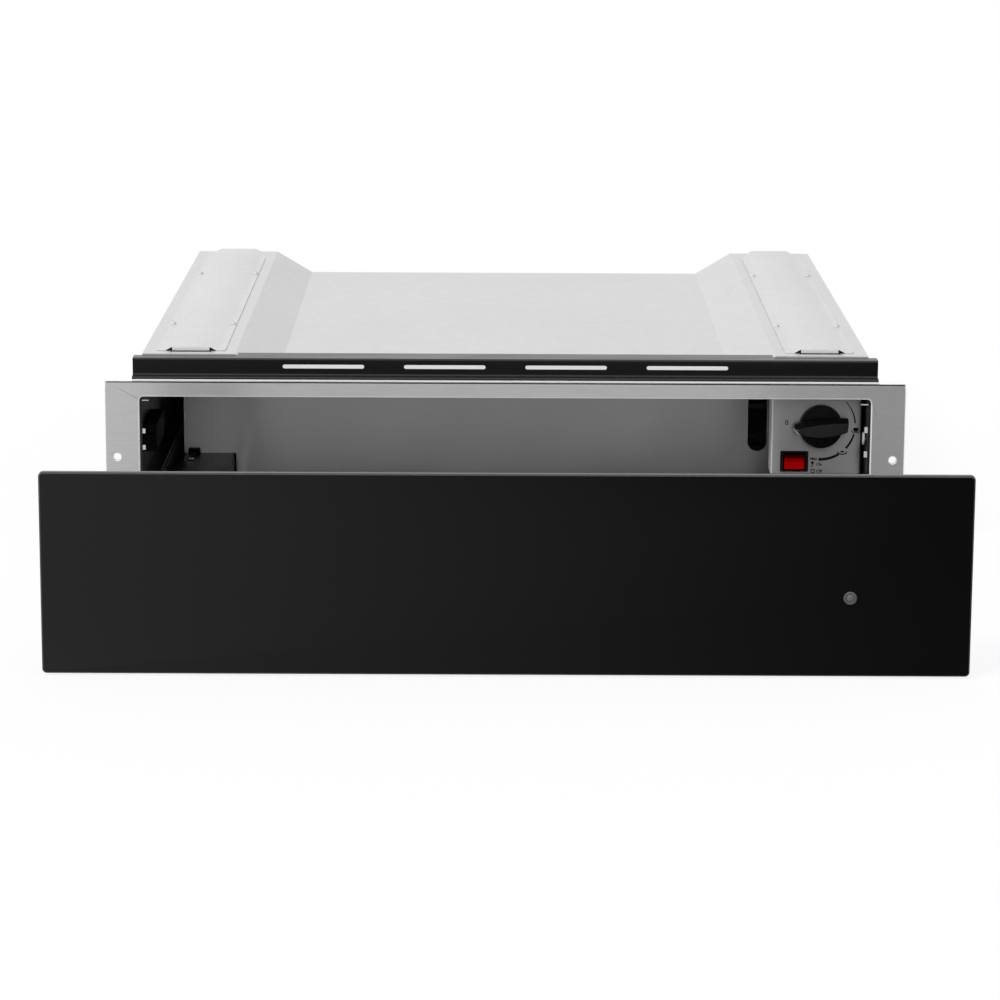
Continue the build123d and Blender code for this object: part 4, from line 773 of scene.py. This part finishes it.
for (x, z), shift, lift, width, height in bars:
    left, right = x + shift - width / 2, x + shift + width / 2
    low, top = z + lift - height / 2, z + lift + height / 2
    printed(marks, [(left, low), (right, low), (right, top), (left, top)])
finished_piece("printed_scale", marks, (print_ink,), "casing")

letter_weight = 0.1 * MM
for name, text, x, z, height in (
    ("printed_zero", "0", 210.2, 90.0, 5.0),
    ("printed_max", "Max", 230.9, 62.5, 3.0),
    ("printed_on", "On", 235.1, 58.3, 3.2),
    ("printed_off", "Off", 235.1, 53.0, 3.2),
):
    letters = bpy.data.curves.new(name, "FONT")
    letters.body = text
    letters.size = height * MM
    letters.extrude = print_thickness / 2
    letters.offset = letter_weight
    letters.align_x = "CENTER"
    letters.align_y = "CENTER"
    maker = bpy.data.objects.new(name + "_maker", letters)
    scene.collection.objects.link(maker)
    word = keep_mesh(name, maker, "casing")
    seat = Vector((x * MM, plate_face_y - print_thickness / 2, z * MM))
    word.data.transform(Matrix.Translation(seat) @ Matrix.Rotation(math.pi / 2, 4, "X"))
    word.data.materials.clear()
    word.data.materials.append(print_ink)

# ---------------- thermostat knob
# A satin black moulded knob: a flat round skirt, and a long grip bar across it. The bar has a
# ridge along its front, and comes to a point at the left, beside the zero. The facet between the
# ridge and the foot is given a lighter, glossier black as a painted sheen, and a thin white line at
# the left tip is a painted highlight.
moulded_skin = (2600, 0.012)
knob_black = textured(
    "knob_black", 0.003, 0.34, specular=0.12, rough=(160, 0.3, 0.4), skin=moulded_skin
)
grip_painted_sheen = textured("grip_painted_sheen", 0.03, 0.42, rough=(160, 0.36, 0.46), skin=moulded_skin)

skirt_radius = 16.1 * MM
skirt_depth = 6.0 * MM
knob_low, knob_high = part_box("control_knob")
knob_rear_y = knob_high.y


def face_front(shape, x, rear_y, z):
    """Turns a shape built up along +Z so that it stands out towards the front at (x, z)."""
    place = Matrix.Translation((x, rear_y, z)) @ Matrix.Rotation(math.pi / 2, 4, "X")
    bmesh.ops.transform(shape, matrix=place, verts=shape.verts)


skirt_edge = 0.9 * MM
edge_steps = 4
skirt_profile = [(0, 0), (skirt_radius, 0)]
skirt_profile += [
    (
        skirt_radius - skirt_edge * (1 - math.cos(math.pi / 2 * step / edge_steps)),
        skirt_depth - skirt_edge * (1 - math.sin(math.pi / 2 * step / edge_steps)),
    )
    for step in range(edge_steps + 1)
]
skirt_profile.append((0, skirt_depth))
skirt = turned(skirt_profile, steps=64)
face_front(skirt, knob_x, knob_rear_y, knob_z)
refined(
    "knob_skirt", "control_knob", (knob_black,), "knob", "black_plastic", shape=skirt,
    sharp_angle=25,
)

grip_depth = knob_rear_y - knob_low.y
# Places along the bar, with the heights of its top, ridge and foot in millimetres, and the
# shares of its depth to which the ridge and the foot stand out.
grip_sections = (
    (-20.4, 2.6, 0.0, -1.2, 0.8, 0.5),
    (-17.0, 3.9, 0.0, -3.8, 0.95, 0.56),
    (-12.0, 5.6, 1.4, -6.2, 1.0, 0.62),
    (-2.0, 6.7, 3.2, -7.1, 1.0, 0.74),
    (9.0, 7.2, 4.2, -6.2, 1.0, 0.62),
    (17.0, 7.4, 4.5, -4.6, 1.0, 0.52),
    (19.6, 7.2, 4.6, -3.6, 0.94, 0.5),
)
grip_top_reach = 0.66
grip_rear = skirt_depth - 0.5 * MM  # the bar is sunk a little into the skirt
grip = bmesh.new()
rings = []
for along, top, ridge, foot, ridge_reach, foot_reach in grip_sections:
    ring = [(top, grip_rear), (foot, grip_rear), (foot, grip_depth * foot_reach)]
    ring += [(ridge, grip_depth * ridge_reach), (top, grip_depth * grip_top_reach)]
    rings.append([grip.verts.new((along * MM, high * MM, level)) for high, level in ring])
foot_index = 2  # the face between the foot and the ridge looks down at the tray, and gets the painted sheen
for lower, upper in zip(rings, rings[1:]):
    for index in range(len(lower)):
        after = (index + 1) % len(lower)
        face = grip.faces.new((lower[index], lower[after], upper[after], upper[index]))
        face.material_index = 1 if index == foot_index else 0
grip.faces.new(rings[0])
grip.faces.new(list(reversed(rings[-1])))
bmesh.ops.recalc_face_normals(grip, faces=grip.faces)
face_front(grip, knob_x, knob_rear_y, knob_z)
knob_grip = finished_piece(
    "knob_grip", grip, (knob_black, grip_painted_sheen), "knob", sharp_angle=12
)
round_edges(knob_grip, 0.25 * MM, angle=20)

# A thin white bar at the grip's left tip is a painted highlight of the tip's edge.
tip_highlight_white = textured("tip_highlight_white", (0.75, 0.75, 0.74), 0.5, tones=(2000, 0.68, 0.78))
tip_highlight_size = (6.0 * MM, 0.6 * MM, 0.4 * MM)
tip_highlight_turn = math.radians(-50)
tip_highlight_seat = (-18.9 * MM, -2.8 * MM, grip_depth * 0.53)
tip_highlight_shape = bmesh.new()
block(tip_highlight_shape, (0, 0, 0), tip_highlight_size)
tip_highlight_place = Matrix.Translation(tip_highlight_seat) @ Matrix.Rotation(tip_highlight_turn, 4, "Z")
bmesh.ops.transform(tip_highlight_shape, matrix=tip_highlight_place, verts=tip_highlight_shape.verts)
face_front(tip_highlight_shape, knob_x, knob_rear_y, knob_z)
tip_highlight_piece = finished_piece("knob_pointer", tip_highlight_shape, (tip_highlight_white,), "knob")
round_edges(tip_highlight_piece, 0.08 * MM)

paint(brushed("spindle_steel", 0.55, 0.3, along=1), "thermostat_spindle")

# ---------------- rocker switch
# A black moulded bezel clips into the plate. In it tips a clear red rocker with a shallow V
# face; the glow of the bulb behind it is painted into its colour, red below, and painted shade
# darkens its upper edge.
switch_black = textured(
    "switch_black", 0.003, 0.4, specular=0.2, rough=(300, 0.25, 0.38), skin=(2600, 0.008)
)
bezel_growth = 1.06  # the rim is wider than the body behind the plate
bezel_shape = clean_copy("switch_body")
switch_low, switch_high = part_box("switch_body")
bmesh.ops.scale(
    bezel_shape,
    vec=(bezel_growth, 1.0, bezel_growth),
    space=Matrix.Translation(-(switch_low + switch_high) / 2),
    verts=[vert for vert in bezel_shape.verts if vert.co.y < plate_face_y + face_play],
)
refined(
    "moulded_switch_bezel", "switch_body", (switch_black,), "casing", "black_plastic",
    0.25 * MM, bezel_shape,
)

# The bulb's glow is painted in the colour: red where it would be lit, painted shade along the top
# edge.
painted_glow_red, painted_shade_red = (0.4, 0.0, 0.0), (0.05, 0.0, 0.0)
rocker_red, tree, shader = new_finish("rocker_red", painted_glow_red, 0.3)
shader.inputs["Specular IOR Level"].default_value = 0.03
rocker_top_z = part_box("rocker_button")[1].z
painted_shade_edge = (rocker_top_z - 2.6 * MM, rocker_top_z - 1.4 * MM)
height = wired(tree, "SeparateXYZ", {0: wired(tree, "TexCoord")["Object"]})["Z"]
tint(tree, height, painted_glow_red, painted_shade_red, shader, painted_shade_edge)
refined("clear_red_rocker", "rocker_button", (rocker_red,), "rocker", "red_lens", 0.3 * MM)

# ---------------- drawer back wall
# A thin bright stainless sheet, brushed from side to side and a little wavy, with a hem along
# its top and ends; the hem at its left end is painted near white as a highlight. The upright slot
# at the right lets the fan's air into the tray.
wall_steel = brushed("wall_steel", 0.51, 0.3, along=0, wave=4 * MM)
hem_width = 1.4 * MM
hem_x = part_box("drawer_back_wall")[0].x + hem_width
wall_shape = clean_copy("drawer_back_wall")
bmesh.ops.bisect_plane(
    wall_shape,
    geom=wall_shape.verts[:] + wall_shape.edges[:] + wall_shape.faces[:],
    plane_co=(hem_x, 0, 0),
    plane_no=(1, 0, 0),
)
for face in wall_shape.faces:
    if face.calc_center_median().x < hem_x:
        face.material_index = 1
refined(
    "folded_back_wall", "drawer_back_wall", (wall_steel, painted_edge_highlight), "drawer",
    "stainless_steel", 0.3 * MM, wall_shape,
)

# ---------------- tray sides, floor and stop
# The tray's sides are folded black strips that end in ledges over the slides. The floor is
# plain brushed stainless, under the mat. A black block marks the left ledge's end.
latch_black = textured(
    "latch_black", 0.001, 0.6, specular=0.04, rough=(200, 0.5, 0.6), skin=(2400, 0.01)
)
ledge_black = textured(
    "ledge_black", 0.008, 0.4, specular=0.35, rough=((30, 8, 30), 0.3, 0.46), skin=(1200, 0.01)
)
for side in ("left", "right"):
    node_name = f"drawer_side_{side}"
    refined(
        f"folded_side_{side}", node_name, (ledge_black,), "drawer", "black_steel", 0.2 * MM
    )
paint(brushed("floor_steel", 0.5, 0.33, along=0, wave=0.4 * MM), "drawer_floor")
stop_low, stop_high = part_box("ledge_stop")
stop_x = (stop_low.x + stop_high.x) / 2
stop_width = stop_high.x - stop_low.x
stop_height = stop_high.z - stop_low.z
stop_blocks = (  # width, height, depth and setback of its head at the wall and of its neck
    (stop_width, stop_height * 0.85, 7 * MM, 0.0),
    (stop_width * 0.5, stop_height * 0.5, 22 * MM, 7 * MM),
)
stop_shape = bmesh.new()
for width, height, depth, setback in stop_blocks:
    middle_y = stop_high.y - setback - depth / 2
    block(stop_shape, (stop_x, middle_y, stop_low.z + height / 2), (width, depth, height))
refined(
    "moulded_ledge_stop", "ledge_stop", (latch_black,), "drawer", "black_plastic", 0.3 * MM,
    stop_shape,
)
spring_size = (4.2 * MM, 0.5 * MM, 1.3 * MM)
spring_setback = 29.4 * MM
spring_height = 1.6 * MM
spring_centre = (stop_x, stop_high.y - spring_setback, stop_low.z + spring_height)
spring_shape = bmesh.new()
block(spring_shape, spring_centre, spring_size)
finished_piece("stop_spring", spring_shape, (bright_zinc,), "drawer")

# ---------------- anti-slip mat
# A loose sheet of matt pale grey silicone with small raised dots, so that plates stay put when the
# drawer moves. The dots stand in a square grid and are moulded with the sheet.
mat_low, mat_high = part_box("anti_slip_mat")
sheen = {"Sheen Weight": 0.15}
silicone = textured(
    "mat_silicone", 0.45, 0.62, tones=(25, 0.42, 0.48), skin=(1500, 0.02), dials=sheen
)
paint(silicone, "anti_slip_mat")
dot_margin = 9 * MM
dot_pitch = 11 * MM
dots_length = mat_high.x - mat_low.x - 2 * dot_margin
dots_width = mat_high.y - mat_low.y - 2 * dot_margin
dots_centre = ((mat_low.x + mat_high.x) / 2, (mat_low.y + mat_high.y) / 2, mat_high.z)
grown(
    "mat_dots",
    bpy.data.meshes.new("mat_dots_maker"),
    {
        "Length": ("Float", dots_length, "grid:Size X"),
        "Width": ("Float", dots_width, "grid:Size Y"),
        "Dots Along": ("Int", int(dots_length / dot_pitch), "grid:Vertices X"),
        "Dots Across": ("Int", int(dots_width / dot_pitch), "grid:Vertices Y"),
        "Dot Radius": ("Float", 2.0 * MM, "dot:Radius"),
        "Dot Detail": ("Int", 2, "dot:Subdivisions"),
        "Dot Shape": ("Vector", (1.0, 1.0, 0.35), "flat:Scale"),
        "Centre": ("Vector", dots_centre, "moved:Translation"),
        "Finish": ("Material", silicone, "coloured:Material"),
    },
    {
        "grid": "MeshGrid", "dot": "MeshIcoSphere", "flat": "Transform",
        "placed": "InstanceOnPoints", "moved": "Transform", "real": "RealizeInstances",
        "smooth": "SetShadeSmooth", "coloured": "SetMaterial",
    },
    ("dot > flat > placed:Instance", "grid > placed > moved > real > smooth > coloured > result"),
    "drawer",
)

# ---------------- front glass
# Toughened glass printed black on its back and bonded to the drawer front. Its faces are
# polished; its bevelled edge is ground, so it scatters light and reads as a thin dark grey line.
glass_black = textured(
    "glass_black", 0.001, 0.09, specular=0.49, rough=(6, 0.07, 0.13), detail=4.0
)
ground_edge = textured("ground_edge", 0.05, 0.35, tones=(300, 0.04, 0.06), skin=(2500, 0.02))
lens_low, lens_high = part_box("indicator_lens")
lens_centre_x = (lens_low.x + lens_high.x) / 2
lens_centre_z = (lens_low.z + lens_high.z) / 2
bore_reach = 8 * MM
bore_facet = 1e-5  # square metres; the faces of the pane's ground edge are larger
edge_facing = 0.95
pane = clean_copy("front_glass")
pane.normal_update()
for face in pane.faces:
    at_bore = abs(face.calc_center_median().x - lens_centre_x) < bore_reach
    in_bore = at_bore and face.calc_area() < bore_facet
    face.material_index = 1 if abs(face.normal.y) < edge_facing and not in_bore else 0
pane_finishes = (glass_black, ground_edge)
refined("black_glass_pane", "front_glass", pane_finishes, "drawer", "black_glass", shape=pane)

# ---------------- indicator lens
# A small clear plastic light guide lies in a hole in the glass. It has a raised rim, a groove
# and a low dome, and carries the rocker's light through the shut drawer front.
guide_dials = {"Transmission Weight": 0.4, "IOR": 1.49}
lens_plastic = textured("lens_plastic", 0.18, 0.12, rough=(400, 0.1, 0.24), dials=guide_dials)
guide_length = lens_high.y - lens_low.y
guide_radius = 3.0 * MM
head_points = (  # radius, and distance behind the lens's front, in millimetres
    (3.0, 5.1), (4.2, 5.1), (4.2, 0.3), (3.9, 0.0), (3.3, 0.0), (3.0, 0.9), (2.6, 0.9),
    (2.2, 0.5), (1.3, 0.15), (0.0, 0.05),
)
lens_profile = [(0, 0), (guide_radius, 0)]
lens_profile += [(radius * MM, guide_length - behind * MM) for radius, behind in head_points]
lens_shape = turned(lens_profile, steps=40)
face_front(lens_shape, lens_centre_x, lens_high.y, lens_centre_z)
refined(
    "clear_lens", "indicator_lens", (lens_plastic,), "drawer", "clear_plastic",
    shape=lens_shape, sharp_angle=35,
)

# ---------------- drawer front carrier
# A folded steel pan behind the glass, painted dark grey, closed by a pale zinc cover towards
# the tray. Two small plated angles and pan-head screws join it to the tray.
carrier_paint = textured(
    "carrier_paint", (0.05, 0.05, 0.052), 0.4, rough=(30, 0.34, 0.48), skin=(1200, 0.01)
)
cover_zinc = textured("cover_zinc", 0.88, 0.45, 0.5, tones=(40, 0.86, 0.9))
refined("folded_front_pan", "front_carrier", (carrier_paint,), "drawer", "carrier_steel", 0.3 * MM)
refined(
    "zinc_front_cover", "carrier_cover", (cover_zinc,), "drawer", "stainless_steel", 0.25 * MM
)
paint(bright_zinc, "front_brackets")

pan_head_radius = 2.8 * MM
pan_head_height = 1.5 * MM
slot_reach = 1.7 * MM
slot_half_width = 0.35 * MM
slot_floor = 0.7 * MM


def pan_head():
    """A pan-head screw with a cross recess, standing on Z = 0."""
    outline = ((0, 0), (1, 0), (1, 0.55), (0.86, 0.88), (0.6, 1), (0, 1))
    head = turned([(pan_head_radius * r, pan_head_height * h) for r, h in outline], steps=24)
    solid = pattern_head("pan_head_solid", head)
    scene.collection.objects.link(solid)
    for name, wide, deep in (
        ("slot_x", slot_reach, slot_half_width),
        ("slot_y", slot_half_width, slot_reach),
    ):
        cutter_shape = bmesh.new()
        lift = slot_floor + pan_head_height / 2
        block(cutter_shape, (0, 0, lift), (2 * wide, 2 * deep, pan_head_height))
        cutter = pattern_head("pan_head_" + name, cutter_shape)
        scene.collection.objects.link(cutter)
        cut = solid.modifiers.new(name, "BOOLEAN")
        cut.operation = "DIFFERENCE"
        cut.solver = "EXACT"
        cut.object = cutter
    ready = solid.evaluated_get(bpy.context.evaluated_depsgraph_get())
    mesh = bpy.data.meshes.new_from_object(ready)
    for cutter in [modifier.object for modifier in solid.modifiers]:
        bpy.data.objects.remove(cutter)
    bpy.data.objects.remove(solid)
    return bpy.data.objects.new("pan_head", mesh)


screw_head = pan_head()
front_leg_seats, wall_leg_seats = [], {-1: [], 1: []}
for low, high in solid_boxes("drawer_screws"):
    middle = (low + high) / 2
    if high.y - low.y < high.x - low.x:
        front_leg_seats.append((middle.x, low.y, middle.z))
    else:
        side_sign = 1 if middle.x > 0 else -1
        wall_leg_seats[side_sign].append((high.x if side_sign > 0 else low.x, middle.y, middle.z))
for name, seats, turn in (
    ("cross_screws_front", front_leg_seats, (-90, 0, 0)),
    ("cross_screws_right", wall_leg_seats[1], (0, -90, 0)),
    ("cross_screws_left", wall_leg_seats[-1], (0, 90, 0)),
):
    set_out(name, "drawer_screws", seats, screw_head, turn, "drawer")
bpy.data.objects.remove(screw_head)

paint(textured("buffer_silicone", 0.25, 0.5, tones=(600, 0.22, 0.3)), "front_buffers")

# ---------------- telescopic slides
# Three rolled steel members a side run on two rows of balls. They are passivated dark, so only
# their edges catch the light; the balls are polished and run in a plated cage.
slide_steel = textured(
    "slide_steel", (0.10, 0.10, 0.105), 0.32, 1.0, rough=((300, 6, 300), 0.26, 0.4),
    tones=((60, 4, 60), 0.085, 0.12), skin=((500, 10, 500), 0.01),
)
for member, body_of_side in (
    ("slide_outer", "casing"),
    ("slide_middle", "slide_middle_{}"),
    ("slide_inner", "drawer"),
):
    for side in ("left", "right"):
        node_name = f"{member}_{side}"
        body = body_of_side.format(side)
        refined(f"rolled_{node_name}", node_name, (slide_steel,), body, "zinc_plate", 0.3 * MM)
ball_steel = textured("ball_steel", (0.7, 0.7, 0.71), 0.12, 1.0, rough=(900, 0.08, 0.2))
paint(ball_steel, "outer_balls_left", "outer_balls_right", "inner_balls_left", "inner_balls_right")

# ---------------- push latch
# A black moulded latch on the left wall with a sprung plunger that the shut front presses on.
# It is matt, so that it hardly shows beside the mouth.
refined("moulded_latch", "latch_body", (latch_black,), "casing", "black_plastic", 0.4 * MM)
paint(latch_black, "latch_plunger")

# ---------------- mouth-edge tabs and roller
# Small tabs of the walls are bent in behind the mouth; their pale finish is a painted glint. A
# white nylon roller on the right wall steadies the shut drawer front.
tab_face_y = wall_front_y + 0.5 * MM
tab_thickness = 0.6 * MM
tabs = (  # side, height of the middle, reach from the wall and height, in millimetres
    (-1, 85.8, 2.3, 3.6), (-1, 73.4, 2.3, 3.6), (-1, 109.0, 5.0, 0.7),
    (1, 88.8, 2.5, 4.6), (1, 70.4, 2.5, 4.6), (1, 108.0, 5.6, 0.8),
)
tab_shape = bmesh.new()
for side_sign, height, reach, tall in tabs:
    centre_x = side_sign * (wall_inner_x - reach * MM / 2)
    block(tab_shape, (centre_x, tab_face_y, height * MM), (reach * MM, tab_thickness, tall * MM))
tab_piece = finished_piece("mouth_tabs", tab_shape, (painted_glint,), "casing")
round_edges(tab_piece, 0.2 * MM)
nylon_white = textured("nylon_white", (0.78, 0.78, 0.77), 0.4, tones=(500, 0.74, 0.8))
roller_radius = 4.8 * MM
roller_width = 2.2 * MM
pin_radius = 1.2 * MM
disc_width = 1.2 * MM
rim_chamfer = 0.3 * MM
roller_setback = 14 * MM
roller_height = 79.6 * MM
pin_length = roller_width - disc_width
roller_profile = (
    (0, 0), (pin_radius, 0), (pin_radius, pin_length), (roller_radius - rim_chamfer, pin_length),
    (roller_radius, roller_width - disc_width / 2), (roller_radius - rim_chamfer, roller_width),
    (0, roller_width),
)
roller = turned(roller_profile)
roller_place = Vector((wall_inner_x, wall_front_y + roller_setback, roller_height))
bmesh.ops.transform(
    roller,
    matrix=Matrix.Translation(roller_place) @ Matrix.Rotation(-math.pi / 2, 4, "Y"),
    verts=roller.verts,
)
finished_piece("wall_roller", roller, (nylon_white,), "casing")

# ---------------- heater and its sheet
# A steel-sheathed element in four runs, gone brown from heat, is held by ceramic saddles over
# a dull aluminised reflector. A small cut-out beside it guards against overheating.
heat_browns = ((0.10, 0.085, 0.075), (0.22, 0.19, 0.17))
sheath = textured("heater_sheath", (0.16, 0.14, 0.12), 0.45, 1.0, tones=(30, *heat_browns))
paint(sheath, "heater_element")
aluminised = galvanised("aluminised_sheet", 0.62, 0.4)
paint(aluminised, "heater_reflector")
creams = ((0.6, 0.54, 0.42), (0.7, 0.64, 0.52))
ceramic = textured(
    "cream_ceramic", (0.66, 0.6, 0.48), 0.5, tones=(250, *creams), skin=(1500, 0.02)
)
paint(ceramic, "heater_clips", "thermal_cutout", "thermostat_body", "terminal_block", "bulb_clips")
wool_browns = ((0.4, 0.35, 0.22), (0.58, 0.52, 0.38))
board = textured(
    "wool_board", (0.5, 0.44, 0.3), 0.9, tones=((400, 400, 40), *wool_browns), skin=(800, 0.2)
)
paint(board, "insulation_board")

# ---------------- fan
# A small axial fan of black glass-filled plastic behind the drawer moves warm air to the tray.
# Its square frame is screwed to the rear panel.
fan_black = textured(
    "fan_black", (0.018, 0.018, 0.019), 0.5, rough=(120, 0.44, 0.58), skin=(1800, 0.02)
)
paint(fan_black, "fan_frame", "fan_impeller")

# ---------------- mains connection and wiring
# A nylon gland with an empty bore takes the mains cord at the back. Inside, sleeved wires and
# a thin copper capillary are clipped along the right-hand channel.
nylon = textured("gland_nylon", (0.02, 0.02, 0.021), 0.42, rough=(200, 0.36, 0.5))
paint(nylon, "cord_gland", "gland_nut")
sleeve_grey = (0.10, 0.10, 0.105)
sleeve = textured(
    "braided_sleeve", sleeve_grey, 0.7, tones=(900, 0.06, 0.15), skin=(1100, 0.1), detail=1.0
)
paint(sleeve, "wiring_loom", "heater_leads")
copper = brushed("capillary_copper", (0.72, 0.40, 0.25), 0.3, along=1)
paint(copper, "capillary_tube")
brass = brushed("terminal_brass", (0.72, 0.55, 0.25), 0.3, along=1)
paint(brass, "switch_terminals")
paint(bright_zinc, "thermostat_screws")
